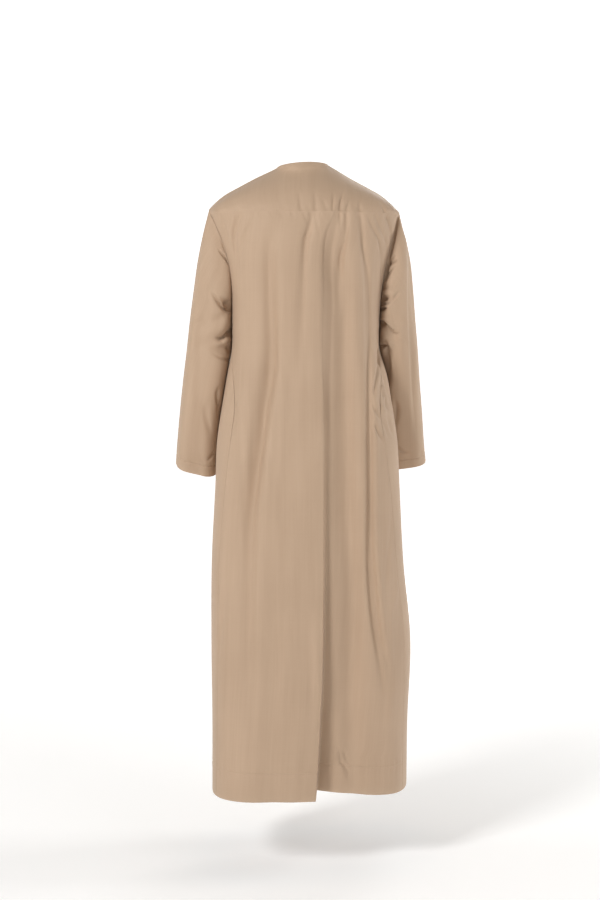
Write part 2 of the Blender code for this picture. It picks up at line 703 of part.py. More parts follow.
# The buttons stand on the placket's middle line.
line, line_out = placket[:, PLACKET_CELLS], outward[:, PLACKET_CELLS]
for number in range(BUTTONS):
    z = BUTTON_FIRST_Z - number * BUTTON_PITCH
    place = np.array([np.interp(z, line[:, 2], line[:, k]) for k in range(3)])
    out = np.array([np.interp(z, line[:, 2], line_out[:, k]) for k in range(3)])
    button(f"button_{number + 1}", place + out * (LAYER_GAP + BUTTON_LIFT + BUTTON_THICK / 2), out)
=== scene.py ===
# %% [markdown]
# # A long plain robe, worn, seen from behind
# This lesson dresses a measured solid model of an ankle-length robe in finer cloth. The solid model gives the sizes;
# here each panel is built again with many more rows and columns, so that it can carry narrow folds, gathers at the yoke
# and puckered stitching. +X is the robe's right side, +Y its front and +Z up, in metres.

# %% Start, and read the solid model
import math
from collections import namedtuple

import bmesh
import bpy
import numpy as np
from mathutils import Matrix, Vector


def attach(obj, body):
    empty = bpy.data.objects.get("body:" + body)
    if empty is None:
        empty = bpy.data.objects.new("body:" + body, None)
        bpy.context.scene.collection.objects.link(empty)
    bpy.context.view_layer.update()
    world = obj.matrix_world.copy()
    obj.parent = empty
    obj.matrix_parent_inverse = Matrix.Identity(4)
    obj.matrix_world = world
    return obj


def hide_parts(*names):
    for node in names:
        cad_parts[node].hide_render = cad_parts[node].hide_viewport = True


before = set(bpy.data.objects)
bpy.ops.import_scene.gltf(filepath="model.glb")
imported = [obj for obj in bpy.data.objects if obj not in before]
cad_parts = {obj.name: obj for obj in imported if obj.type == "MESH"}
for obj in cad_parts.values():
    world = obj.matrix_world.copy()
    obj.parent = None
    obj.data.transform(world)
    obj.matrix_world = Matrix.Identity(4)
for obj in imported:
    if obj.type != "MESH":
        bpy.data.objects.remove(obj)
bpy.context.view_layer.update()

# %% [markdown]
# ## The body's sections
# A tailor would drape the panels on a stand. Here the stand is a table of level sections: how far the cloth reaches to
# the left, right, back and front at each height, and how square the section is. A smooth curve through the rows gives
# every height between them, so that the panels have no bands where one row of the table meets the next.

# %% Tables of the body and its seams
HEM_Z = -1.390
YOKE_Z = -0.112
UNDERARM_Z = -0.302
Section = namedtuple("Section", "z left right back front square skew")
BODY = (
    Section(-0.112, -0.211, 0.219, -0.122, 0.098, 2.30, 0.000),
    Section(-0.170, -0.190, 0.205, -0.130, 0.112, 2.40, 0.000),
    Section(-0.235, -0.171, 0.190, -0.134, 0.119, 2.45, 0.000),
    Section(-0.302, -0.1600, 0.177, -0.135, 0.122, 2.50, 0.000),
    Section(-0.360, -0.1590, 0.1732, -0.133, 0.122, 2.50, 0.000),
    Section(-0.410, -0.1595, 0.1735, -0.132, 0.123, 2.50, 0.000),
    Section(-0.470, -0.1700, 0.1905, -0.132, 0.124, 2.50, 0.000),
    Section(-0.530, -0.1800, 0.2010, -0.134, 0.126, 2.55, 0.000),
    Section(-0.620, -0.1930, 0.2145, -0.141, 0.129, 2.60, 0.002),
    Section(-0.710, -0.1965, 0.219, -0.148, 0.131, 2.65, 0.004),
    Section(-0.890, -0.2045, 0.228, -0.160, 0.136, 2.80, 0.010),
    Section(-1.070, -0.2045, 0.244, -0.172, 0.143, 3.00, 0.017),
    Section(-1.250, -0.2015, 0.237, -0.185, 0.152, 3.15, 0.025),
    Section(-1.390, -0.2010, 0.235, -0.195, 0.160, 3.30, 0.030),
)
# How far behind the widest point the side seam runs, in degrees round the section.
SeamPlace = namedtuple("SeamPlace", "z angle")
SIDE_SEAM = (
    SeamPlace(-0.302, 0.0),
    SeamPlace(-0.365, 4.0),
    SeamPlace(-0.412, 11.0),
    SeamPlace(-0.460, 23.0),
    SeamPlace(-0.505, 33.0),
    SeamPlace(-0.554, 38.0),
    SeamPlace(-0.600, 38.0),
    SeamPlace(-0.720, 33.0),
    SeamPlace(-1.000, 29.0),
    SeamPlace(-1.390, 26.0),
)
# The armhole's edge at the yoke and at its deepest, in the same degrees, on the left (-1) and right (1).
ARMHOLE_TOP_ANGLE = {-1: 13.0, 1: 12.0}
ARMHOLE_DEEP_ANGLE = {-1: 20.0, 1: 14.0}
ARMHOLE_DEEP_Z = -0.205


def curve_between(first, last, leave, arrive, t):
    """Places on a smooth curve from first to last, which leaves and arrives at the given slopes."""
    near = first * (2 * t**3 - 3 * t**2 + 1) + leave * (t**3 - 2 * t**2 + t)
    return near + last * (3 * t**2 - 2 * t**3) + arrive * (t**3 - t**2)


def smooth_table(rows, column, z):
    """The named column of a table of sections at any height, on a smooth curve through its rows."""
    heights = np.array([row.z for row in rows])[::-1]
    values = np.array([getattr(row, column) for row in rows])[::-1]
    slopes = np.gradient(values, heights)
    z = np.clip(z, heights[0], heights[-1])
    cell = np.clip(np.searchsorted(heights, z) - 1, 0, len(heights) - 2)
    span = heights[cell + 1] - heights[cell]
    t = (z - heights[cell]) / span
    return curve_between(values[cell], values[cell + 1], slopes[cell] * span, slopes[cell + 1] * span, t)


def smooth_step(t):
    """0 below 0, 1 above 1, and a soft rise between them."""
    t = np.clip(t, 0.0, 1.0)
    return t * t * (3.0 - 2.0 * t)


def section_points(z, angles):
    """Points of the body's section at height z. angles run from the right side (0) counterclockwise seen from above,
    so they are negative over the back."""
    left, right = smooth_table(BODY, "left", z), smooth_table(BODY, "right", z)
    depth = np.where(np.sin(angles) < 0, -smooth_table(BODY, "back", z), smooth_table(BODY, "front", z))
    power = 2.0 / smooth_table(BODY, "square", z)
    across = np.sign(np.cos(angles)) * np.abs(np.cos(angles)) ** power
    along = np.sign(np.sin(angles)) * np.abs(np.sin(angles)) ** power
    x = (left + right) / 2 + (right - left) / 2 * across
    return np.stack([x, depth * along + smooth_table(BODY, "skew", z) * across, np.full_like(x, z)], axis=-1)


def seam_angle(z, side):
    """Where the side seam or, above the underarm, the armhole's edge lies: degrees behind the widest point."""
    if z <= UNDERARM_Z:
        return float(smooth_table(SIDE_SEAM, "angle", z))
    if z < ARMHOLE_DEEP_Z:
        down = (ARMHOLE_DEEP_Z - z) / (ARMHOLE_DEEP_Z - UNDERARM_Z)
        return ARMHOLE_DEEP_ANGLE[side] * math.sqrt(max(0.0, 1 - down * down))
    up = (z - ARMHOLE_DEEP_Z) / (YOKE_Z - ARMHOLE_DEEP_Z)
    return ARMHOLE_DEEP_ANGLE[side] + (ARMHOLE_TOP_ANGLE[side] - ARMHOLE_DEEP_ANGLE[side]) * up * up


print("body sections:", len(BODY), "of them, from", BODY[0].z, "to", BODY[-1].z)

# %% [markdown]
# ## The deep folds
# The skirt hangs in a few deep folds. The largest is a step down the middle of the back: the cloth left of its line
# stands out, drops in sharply and comes back slowly further right. The others are soft troughs. Each is a path down the
# panel with a depth at each height, because a fold that keeps one depth looks moulded, not hung.

# %% Tables of the deep folds
Step = namedtuple("Step", "z x depth width reach lift")
MIDDLE_FOLD = (
    Step(-0.112, 0.0745, 0.003, 0.018, 0.030, 0.0),
    Step(-0.185, 0.0590, 0.007, 0.018, 0.045, 0.0),
    Step(-0.308, 0.0560, 0.009, 0.022, 0.055, 0.0),
    Step(-0.527, 0.0530, 0.011, 0.018, 0.075, 0.0),
    Step(-0.746, 0.0500, 0.014, 0.011, 0.105, 0.0005),
    Step(-0.960, 0.0470, 0.022, 0.006, 0.145, 0.0020),
    Step(-1.170, 0.0420, 0.032, 0.005, 0.175, 0.0060),
    Step(-1.390, 0.0300, 0.044, 0.004, 0.205, 0.0135),
)
FOLD_FADE = 1.4  # how the right side's drop dies away over its reach: 1 is evenly
Trough = namedtuple("Trough", "z x depth")


def trough(left, right, *path):
    """A trough in metres from its widths on both sides of the deepest line and its path, in millimetres."""
    return left / 1000, right / 1000, tuple(Trough(*(part / 1000 for part in place)) for place in path)


BACK_FOLDS = {
    "left_valley": trough(23, 14, (-130, -64, 0), (-231, -70, 9), (-320, -68, 14), (-443, -68, 17), (-526, -80, 18),
        (-620, -93, 18), (-740, -110, 16), (-850, -115, 12), (-1050, -117, 8), (-1250, -116, 0)),
    "main_valley": trough(36, 24, (-140, 70, 0), (-200, 80, 9), (-310, 94, 17), (-443, 98, 22), (-620, 100, 23),
        (-780, 104, 24), (-900, 110, 22), (-1050, 114, 19), (-1180, 112, 13), (-1340, 110, 0)),
    "shoulder_valley_left": trough(9, 9, (-112, -142, 2), (-165, -152, 4), (-210, -148, 3), (-290, -146, 0)),
    "centre_valley": trough(10, 10, (-112, 26, 2), (-170, 8, 5), (-231, 1, 4), (-373, -5, 3), (-480, -8, 0)),
    "right_inner_valley": trough(10, 8, (-112, 100, 3), (-176, 91, 5), (-264, 84, 3), (-340, 86, 0)),
    "right_valley": trough(10, 10, (-112, 124, 3), (-178, 134, 5), (-247, 141, 6), (-373, 144, 5), (-527, 148, 6),
        (-746, 150, 10), (-897, 151, 11), (-1000, 158, 10), (-1085, 169, 7), (-1200, 180, 0)),
    "left_hem_wave": trough(30, 30, (-860, -60, 0), (-1100, -63, 4), (-1390, -66, 6)),
    "right_hem_wave": trough(26, 26, (-1000, 105, 0), (-1200, 108, 6), (-1390, 112, 7)),
}
FRONT_FOLDS = {
    "front_left_valley": trough(17, 17, (-300, -75, 0), (-480, -82, 7), (-800, -90, 13), (-1100, -98, 17),
        (-1390, -105, 20)),
    "front_left_inner_valley": trough(15, 15, (-560, -30, 0), (-850, -34, 8), (-1390, -40, 13)),
    "front_right_inner_valley": trough(16, 16, (-420, 42, 0), (-800, 46, 10), (-1390, 52, 16)),
    "front_right_valley": trough(17, 17, (-290, 88, 0), (-500, 98, 8), (-850, 112, 15), (-1390, 125, 21)),
    "front_left_side_valley": trough(14, 14, (-700, -165, 0), (-1000, -168, 7), (-1390, -170, 11)),
    "front_right_side_valley": trough(14, 14, (-700, 182, 0), (-1050, 192, 8), (-1390, 192, 12)),
    "left_chest_drag": trough(12, 12, (-150, -110, 0), (-200, -122, 4), (-270, -128, 4), (-360, -128, 0)),
    "right_chest_drag": trough(12, 12, (-150, 118, 0), (-200, 132, 4), (-270, 140, 4), (-360, 142, 0)),
}
print("deep folds:", len(BACK_FOLDS), "behind besides the middle one, and", len(FRONT_FOLDS), "in front")

# %% [markdown]
# ## Rows and columns
# Every panel is a grid of points, so a wide fold and a fine one are made the same way, by moving points. More rows are
# placed where the shape changes quickly: round the armhole, and on both sides of the hem's line of stitches.

# %% How finely each panel is divided
BACK_LEFT_CELLS, BACK_FOLD_CELLS, BACK_RIGHT_CELLS = 92, 16, 76
FRONT_CELLS = 160
SKIRT_CELLS, WAIST_CELLS, ARMHOLE_CELLS, UPPER_CELLS, SHOULDER_CELLS = 104, 62, 22, 26, 32
POCKET_TOP_Z = -0.415
POCKET_END_Z = -0.620
HEM_TURN = 0.060  # the turned-up hem's height
HEM_STITCH_Z = HEM_Z + HEM_TURN
CLOSE_ROWS = (-0.0045, -0.0022, -0.0010, 0.0, 0.0010, 0.0022, 0.0045)  # heights round a line of stitches
CLEAR = 0.006  # all other rows stay this far from the line
DENSE = 721  # samples of a section before it is cut into cells
EDGE_SHARE = 0.5  # the share of a panel's columns that move with its armhole or pocket edge


def panel_heights():
    """Heights of the panels' rows from the hem to the yoke seam."""
    skirt = np.linspace(HEM_Z, POCKET_END_Z, SKIRT_CELLS + 1)
    waist = np.linspace(POCKET_END_Z, UNDERARM_Z, WAIST_CELLS + 1)
    turn = np.linspace(0.0, math.pi / 2, ARMHOLE_CELLS + 1)
    low = UNDERARM_Z + (ARMHOLE_DEEP_Z - UNDERARM_Z) * (1 - np.cos(turn))
    high = np.linspace(ARMHOLE_DEEP_Z, YOKE_Z, UPPER_CELLS + 1)
    skirt = skirt[np.abs(skirt - HEM_STITCH_Z) > CLEAR]
    skirt = np.sort(np.concatenate([skirt, HEM_STITCH_Z + np.array(CLOSE_ROWS)]))
    return np.concatenate([skirt, waist[1:], low[1:], high[1:]])


def row_at(z):
    """The number of the panels' row nearest to a height."""
    return int(np.abs(heights - z).argmin())


heights = panel_heights()
HEM_STITCH_ROW, UNDERARM_ROW = row_at(HEM_STITCH_Z), row_at(UNDERARM_Z)
print("rows:", len(heights), "with the underarm at row", UNDERARM_ROW)

# %% [markdown]
# ## Back and front sections
# A section is walked by arc length, not by angle, so that the columns stay evenly spaced on the cloth whatever its
# shape, as the threads of a real weave do. The troughs then push the points inwards, at right angles to the section.

# %% Sections with their folds
def arc_lengths(points):
    """Distances along a line of points from its first one."""
    steps = np.linalg.norm(np.diff(points, axis=0), axis=1)
    return np.concatenate([[0.0], np.cumsum(steps)])


def inward(points):
    """Level unit vectors that point into the body from a section's points."""
    along = np.gradient(points[:, :2], axis=0)
    across = np.stack([-along[:, 1], along[:, 0], np.zeros(len(along))], axis=-1)
    return across / np.linalg.norm(across, axis=1)[:, None]


def points_at(arcs, curve, at):
    """Points of a curve at the given distances along it."""
    return np.stack([np.interp(at, arcs, curve[:, k]) for k in range(3)], axis=-1)


def folded(points, folds, z):
    """A section's points moved in by the troughs that cross it."""
    arcs = arc_lengths(points)
    sides = sorted((int(points[:, 0].argmin()), int(points[:, 0].argmax())))
    facing = slice(sides[0], sides[1] + 1)
    order = np.argsort(points[facing, 0])
    depth = np.zeros(len(points))
    for left, right, path in folds.values():
        if not path[-1].z <= z <= path[0].z:
            continue
        middle = np.interp(smooth_table(path, "x", z), points[facing, 0][order], arcs[facing][order])
        deep = max(0.0, float(smooth_table(path, "depth", z)))
        behind = points[facing, 1].mean() < 0  # seen from behind, the left of a front panel is at its far end
        width = np.where((arcs < middle) == behind, left, right)
        depth += deep * np.exp(-(((arcs - middle) / width) ** 2))
    return points + inward(points) * depth[:, None]


def edges_moved_in(at, arcs, cut_first, cut_last):
    """Places along a section with the outer columns moved in so that the first and last lie on the panel's edges."""
    share = (at - at[0]) / (at[-1] - at[0])
    first = np.clip(1 - share / EDGE_SHARE, 0, 1) ** 2
    last = np.clip(1 - (1 - share) / EDGE_SHARE, 0, 1) ** 2
    return at + first * (cut_first - at[0]) + last * (cut_last - at[-1])


def back_section(z):
    """The back panel's section from its left edge to its right one, with its folds."""
    angles = np.linspace(-math.pi, 0.0, DENSE)
    base = section_points(z, angles)
    arcs = arc_lengths(base)
    line, depth, width, reach, lift = (
        float(smooth_table(MIDDLE_FOLD, column, z)) for column in ("x", "depth", "width", "reach", "lift")
    )
    start = np.interp(line - width / 2, base[:, 0], arcs)
    end = np.interp(line + width / 2, base[:, 0], arcs)
    at = np.concatenate(
        [
            np.linspace(0.0, start, BACK_LEFT_CELLS + 1)[:-1],
            np.linspace(start, end, BACK_FOLD_CELLS + 1)[:-1],
            np.linspace(end, arcs[-1], BACK_RIGHT_CELLS + 1),
        ]
    )
    left, right = math.radians(seam_angle(z, -1)), math.radians(seam_angle(z, 1))
    at = edges_moved_in(at, arcs, np.interp(left - math.pi, angles, arcs), np.interp(-right, angles, arcs))
    points = folded(points_at(arcs, base, at), BACK_FOLDS, z)
    drop = smooth_step((at - start) / (end - start))
    back_out = (1.0 - np.clip((at - end) / reach, 0.0, 1.0)) ** FOLD_FADE
    points[:, 1] += depth * drop * back_out
    points[:, 2] += lift * drop * back_out
    return points


POCKET_GAPE = 0.001  # how far each edge of the pocket's mouth stands off at its middle
POCKET_CURVE = 0.8  # under 1, the mouth opens sooner near its ends


def pocket_gape(z):
    """How far the front's edge stands off from the pocket's mouth at height z."""
    down = (POCKET_TOP_Z - z) / (POCKET_TOP_Z - POCKET_END_Z)
    return POCKET_GAPE * math.sin(math.pi * down) ** POCKET_CURVE if 0 < down < 1 else 0.0


def front_section(z):
    """The front panel's section from its right edge to its left one, with its folds."""
    way = 1 if z < UNDERARM_Z else -1
    left, right = way * math.radians(seam_angle(z, -1)), way * math.radians(seam_angle(z, 1))
    angles = np.linspace(min(-right, 0.0), max(math.pi + left, math.pi), DENSE)
    base = section_points(z, angles)
    arcs = arc_lengths(base)
    gape = pocket_gape(z)
    first, last = np.interp(-right, angles, arcs) + gape, np.interp(math.pi + left, angles, arcs) - gape
    at = edges_moved_in(np.linspace(0.0, arcs[-1], FRONT_CELLS + 1), arcs, first, last)
    return folded(points_at(arcs, base, at), FRONT_FOLDS, z)


back_rows = np.array([back_section(z) for z in heights])
front_rows = np.array([front_section(z) for z in heights])
print("back grid", back_rows.shape[:2], "and front grid", front_rows.shape[:2])

# %% [markdown]
# ## Over the shoulders
# Above the yoke seam the cloth no longer hangs: it lies over the shoulders. Each column is one smooth curve that
# leaves the panel in the panel's own direction and arrives at the shoulder line or the neckline at that edge's slope.
# A Bezier curve does just that, because its two handles are the two directions.

# %% Yoke and upper front
NECK_HALF = 0.058
NECK_BACK_Y, NECK_BACK_Z = -0.058, 0.004
NECK_FRONT_Y, NECK_FRONT_Z = 0.076, -0.080
NECK_CURVE = 1.3  # how quickly the neckline leaves its middle height: 1 is an ellipse
NECK_TILT = 0.003  # the neckline's right end is this much higher than its middle, the left end lower
SHOULDER_DROP, SHOULDER_ROUND, SHOULDER_STRAIGHT = 0.54, 6.2, 0.165
RIDGE_SLOPE, NECK_SLOPE_BACK, NECK_SLOPE_FRONT = 17.0, 62.0, 50.0
SHOULDER_PULL = 0.36  # how far the shoulder's curve keeps its end directions
NECK_BLEND = 12  # columns over which the neckline's slope passes into the shoulder's


def ridge_z(x):
    """Height of the shoulder line at a distance x from the middle."""
    past = max(0.0, abs(x) - SHOULDER_STRAIGHT)
    tilt = NECK_TILT * math.copysign(1 - smooth_step((abs(x) - NECK_HALF) / NECK_HALF), x)
    return tilt - SHOULDER_DROP * (abs(x) - NECK_HALF) - SHOULDER_ROUND * past**2


def neck_point(x, side):
    """The point of the neckline at a distance x from the middle."""
    middle = math.sqrt(max(0.0, 1 - (x / NECK_HALF) ** 2))
    deep, low = (NECK_BACK_Y, NECK_BACK_Z) if side < 0 else (NECK_FRONT_Y, NECK_FRONT_Z)
    return np.array([x, deep * middle, low * middle**NECK_CURVE + NECK_TILT * x / NECK_HALF])


def shoulder_ends(lower, side):
    """Where each column that ends at the points lower meets the shoulder line or the neckline, and the direction in
    which the cloth comes down from there."""
    x = lower[:, 0]
    on_neck = np.flatnonzero(np.abs(x) < NECK_HALF)
    start, end = on_neck[0] - 1, on_neck[-1] + 1
    tips = (smooth_table(BODY, "left", YOKE_Z), smooth_table(BODY, "right", YOKE_Z))
    ends, leave = [], []
    for column in range(len(x)):
        slope = RIDGE_SLOPE
        if start < column < end:
            place = neck_point(x[column], side)
            steep = NECK_SLOPE_BACK if side < 0 else NECK_SLOPE_FRONT
            slope += (steep - slope) * abs(place[1] / (NECK_BACK_Y if side < 0 else NECK_FRONT_Y))
        else:
            near, far = (start, 0) if column <= start else (end, len(x) - 1)
            share = (column - near) / (far - near)
            tip = tips[1] if x[column] > 0 else tips[0]
            across = math.copysign(NECK_HALF, tip) * (1 - share) + tip * share
            place = np.array([across, 0.0, ridge_z(across)])
        ends.append(place)
        leave.append([0.0, side * math.cos(math.radians(slope)), -math.sin(math.radians(slope))])
    padded = np.pad(np.array(leave), ((NECK_BLEND, NECK_BLEND), (0, 0)), mode="edge")
    even = np.ones(2 * NECK_BLEND + 1) / (2 * NECK_BLEND + 1)
    leave = np.stack([np.convolve(padded[:, k], even, mode="valid") for k in range(3)], axis=-1)
    return np.array(ends), leave / np.linalg.norm(leave, axis=1)[:, None]


def shoulder_rows(lower, below, side):
    """Rows of points from a panel's upper section over the shoulder to the top edge, smooth with the row below."""
    ends, leave = shoulder_ends(lower, side)
    rise = lower - below
    rise /= np.linalg.norm(rise, axis=1)[:, None]
    pull = np.linalg.norm(ends - lower, axis=1)[:, None] * SHOULDER_PULL
    first, last = lower + rise * pull, ends + leave * pull
    rows = []
    for t in np.linspace(0.0, 1.0, SHOULDER_CELLS + 1):
        near, far = (1 - t) ** 3 * lower + 3 * t * (1 - t) ** 2 * first, 3 * t**2 * (1 - t) * last + t**3 * ends
        rows.append(near + far)
    return np.array(rows)


TANGENT_ROWS = 8  # the rows below the yoke seam that give each column's direction
yoke_rows = shoulder_rows(back_rows[-1], back_rows[-1 - TANGENT_ROWS], -1)
upper_front = shoulder_rows(front_rows[-1], front_rows[-1 - TANGENT_ROWS], 1)
front_rows = np.concatenate([front_rows, upper_front[1:]])
print("yoke grid", yoke_rows.shape[:2])

# %% [markdown]
# ## Sleeves
# A sleeve starts on the armhole's own edge, so that no gap shows, and becomes a row of ovals further down. The table
# gives each oval's outer and inner point as seen from behind, and how far the sleeve swings forward below the elbow.

# %% Sleeve tables
Ring = namedtuple("Ring", "outer_x outer_z inner_x inner_z mid_y half_depth tip")
LEFT_SLEEVE = (
    Ring(-0.211, -0.093, -0.1605, -0.302, 0.000, 0.066, 0.0),
    Ring(-0.219, -0.125, -0.1600, -0.314, 0.002, 0.069, 0.0),
    Ring(-0.228, -0.165, -0.1597, -0.330, 0.007, 0.070, 0.0),
    Ring(-0.2385, -0.220, -0.1598, -0.355, 0.011, 0.068, 0.0),
    Ring(-0.247, -0.280, -0.1597, -0.385, 0.014, 0.065, 1.0),
    Ring(-0.255, -0.340, -0.1617, -0.420, 0.017, 0.061, 3.0),
    Ring(-0.263, -0.410, -0.1693, -0.462, 0.020, 0.058, 7.0),
    Ring(-0.272, -0.480, -0.1785, -0.515, 0.027, 0.055, 11.0),
    Ring(-0.280, -0.550, -0.1880, -0.574, 0.037, 0.053, 15.0),
    Ring(-0.287, -0.617, -0.1935, -0.636, 0.053, 0.051, 18.0),
    Ring(-0.292, -0.672, -0.1965, -0.692, 0.067, 0.050, 20.0),
)
RIGHT_SLEEVE = (
    Ring(0.219, -0.093, 0.1780, -0.302, 0.000, 0.066, 0.0),
    Ring(0.2265, -0.130, 0.1766, -0.314, 0.002, 0.069, 0.0),
    Ring(0.236, -0.170, 0.1754, -0.330, 0.007, 0.070, 0.0),
    Ring(0.246, -0.225, 0.1743, -0.355, 0.012, 0.068, 0.0),
    Ring(0.252, -0.285, 0.1735, -0.385, 0.017, 0.065, 2.0),
    Ring(0.257, -0.345, 0.1764, -0.420, 0.024, 0.061, 5.0),
    Ring(0.263, -0.410, 0.1870, -0.462, 0.036, 0.058, 9.0),
    Ring(0.269, -0.480, 0.1914, -0.515, 0.056, 0.055, 12.0),
    Ring(0.276, -0.550, 0.1952, -0.572, 0.080, 0.053, 14.0),
    Ring(0.282, -0.620, 0.1975, -0.632, 0.103, 0.051, 15.0),
    Ring(0.288, -0.670, 0.2005, -0.682, 0.124, 0.050, 15.0),
)
Elbow = namedtuple("Elbow", "z angle depth half_height half_angle slope")
ELBOW_CREASES = (
    Elbow(-0.345, 110.0, 0.0050, 0.012, 34.0, 0.022),
    Elbow(-0.385, 118.0, 0.0060, 0.012, 38.0, 0.026),
    Elbow(-0.425, 128.0, 0.0040, 0.013, 36.0, -0.016),
    Elbow(-0.330, 235.0, 0.0040, 0.014, 30.0, -0.020),
    Elbow(-0.400, 260.0, 0.0050, 0.015, 45.0, 0.012),
    Elbow(-0.450, 265.0, 0.0040, 0.015, 45.0, -0.010),
)
SLEEVE_ROWS = 230
SLEEVE_SQUARE = 3.1  # 2 is an ellipse, more is squarer
ARMHOLE_BLEND_RINGS = 3.0  # the armhole's own outline dies away over this many rows of the table
SLEEVE_GAP = 0.0003  # how far the sleeve's first ring stands off from the armhole's edge
CUFF_TURN = 0.030  # the cuff's turned-up hem
CUFF_STEP = 0.070  # metres of sleeve between two rows of the table near the cuff

# %% [markdown]
# ## Sleeve grids
# The armhole's edge is walked once round, down the back and up the front. Each ring of the sleeve has a point for each
# point of that edge, so the first ring can lie on the edge itself, and the rings below pass slowly into plain ovals.

# %% Sleeve grids
def smooth_line(places, at):
    """Points of a smooth curve through the places, where at counts from the first place."""
    places, at = np.asarray(places, float), np.asarray(at, float)
    slopes = np.gradient(places, axis=0)
    cell = np.clip(at.astype(int), 0, len(places) - 2)
    return curve_between(places[cell], places[cell + 1], slopes[cell], slopes[cell + 1], (at - cell)[:, None])


def armhole_loop(back, yoke, front, side):
    """The armhole's edge from the shoulder over the back to the underarm and up the front, moved out by the seam,
    and each point's turn round the sleeve."""

    def edge_of(grid, column):
        inner = 1 if column == 0 else -2
        out = grid[:, column] - grid[:, inner]
        return grid[:, column] + SLEEVE_GAP * out / np.linalg.norm(out, axis=1)[:, None]

    back_edge = edge_of(back[UNDERARM_ROW:], 0 if side < 0 else -1)
    yoke_edge = edge_of(yoke, 0 if side < 0 else -1)
    front_edge = edge_of(front[UNDERARM_ROW:], -1 if side < 0 else 0)
    back_edge[0] = front_edge[0] = (back_edge[0] + front_edge[0]) / 2
    yoke_edge[-1] = front_edge[-1] = (yoke_edge[-1] + front_edge[-1]) / 2
    behind = np.concatenate([yoke_edge[::-1], back_edge[::-1][1:]])
    around = [arc_lengths(half) / arc_lengths(half)[-1] for half in (behind, front_edge)]
    return np.concatenate([behind, front_edge[1:]]), math.pi * np.concatenate([around[0], 1 + around[1][1:]])


def sleeve_places(rings):
    """Rows along the sleeve, counted in rows of its table, closer together at the cuff's stitches."""
    last = len(rings) - 1
    stitch = last - CUFF_TURN / CUFF_STEP
    even = np.linspace(0.0, last, SLEEVE_ROWS + 1)
    even = even[np.abs(even - stitch) > CLEAR / CUFF_STEP]
    return np.sort(np.concatenate([even, stitch + np.array(CLOSE_ROWS) / CUFF_STEP])), stitch


def sleeve_grid(rings, loop, turn, side):
    """The sleeve's rows of points: ovals between its outer and inner lines, fitted to the armhole at the top."""
    places, stitch = sleeve_places(rings)
    first, rows = None, []
    for place, (outer_x, outer_z, inner_x, inner_z, mid_y, deep, tip) in zip(places, smooth_line(rings, places)):
        outer, inner = np.array([outer_x, mid_y, outer_z]), np.array([inner_x, mid_y, inner_z])
        tip = math.radians(tip)
        forward = np.array([0.0, math.cos(tip), math.sin(tip)])
        middle, reach = (outer + inner) / 2, (outer - inner) / 2
        across, along = (np.sign(part) * np.abs(part) ** (2 / SLEEVE_SQUARE) for part in (np.cos(turn), np.sin(turn)))
        ring = middle + np.outer(across, reach) - np.outer(along, forward) * deep
        first = ring if first is None else first
        ring = ring + (1.0 - smooth_step(place / ARMHOLE_BLEND_RINGS)) * (loop - first)
        out = ring - middle
        out /= np.linalg.norm(out, axis=1)[:, None]
        degrees = np.degrees(turn)
        for bend in ELBOW_CREASES:
            lift = bend.slope * np.sin(np.radians(degrees - bend.angle))
            near = np.exp(-(((ring[:, 2] - bend.z - lift) / bend.half_height) ** 2))
            round_it = np.exp(-(((degrees - bend.angle) / bend.half_angle) ** 2))
            ring = ring - out * (bend.depth * near * round_it)[:, None]
        rows.append(ring)
    grid = np.array(rows)
    grid[:, -1] = grid[:, 0]
    stitch_row = int(np.abs(places - stitch).argmin())
    return (grid if side > 0 else grid[:, ::-1]), stitch_row


sleeves = {}
for name, rings, side in (("left", LEFT_SLEEVE, -1), ("right", RIGHT_SLEEVE, 1)):
    loop, turn = armhole_loop(back_rows, yoke_rows, front_rows, side)
    sleeves[name], CUFF_STITCH_ROW = sleeve_grid(rings, loop, turn, side)
    print(name, "sleeve grid", sleeves[name].shape[:2])

# %% [markdown]
# ## Fine creases
# The creases that make cloth look like cloth are narrow and run in any direction, so they can't be rows of a table.
# They are drawn as lines on a flat picture plane at the robe's back, like chalk on hanging cloth, and each point of a
# panel is moved in by its distance from each line. The two sides of a line have their own widths: a crease is sharp
# where the cloth turns over and soft where it rises again. Negative depths are ridges.

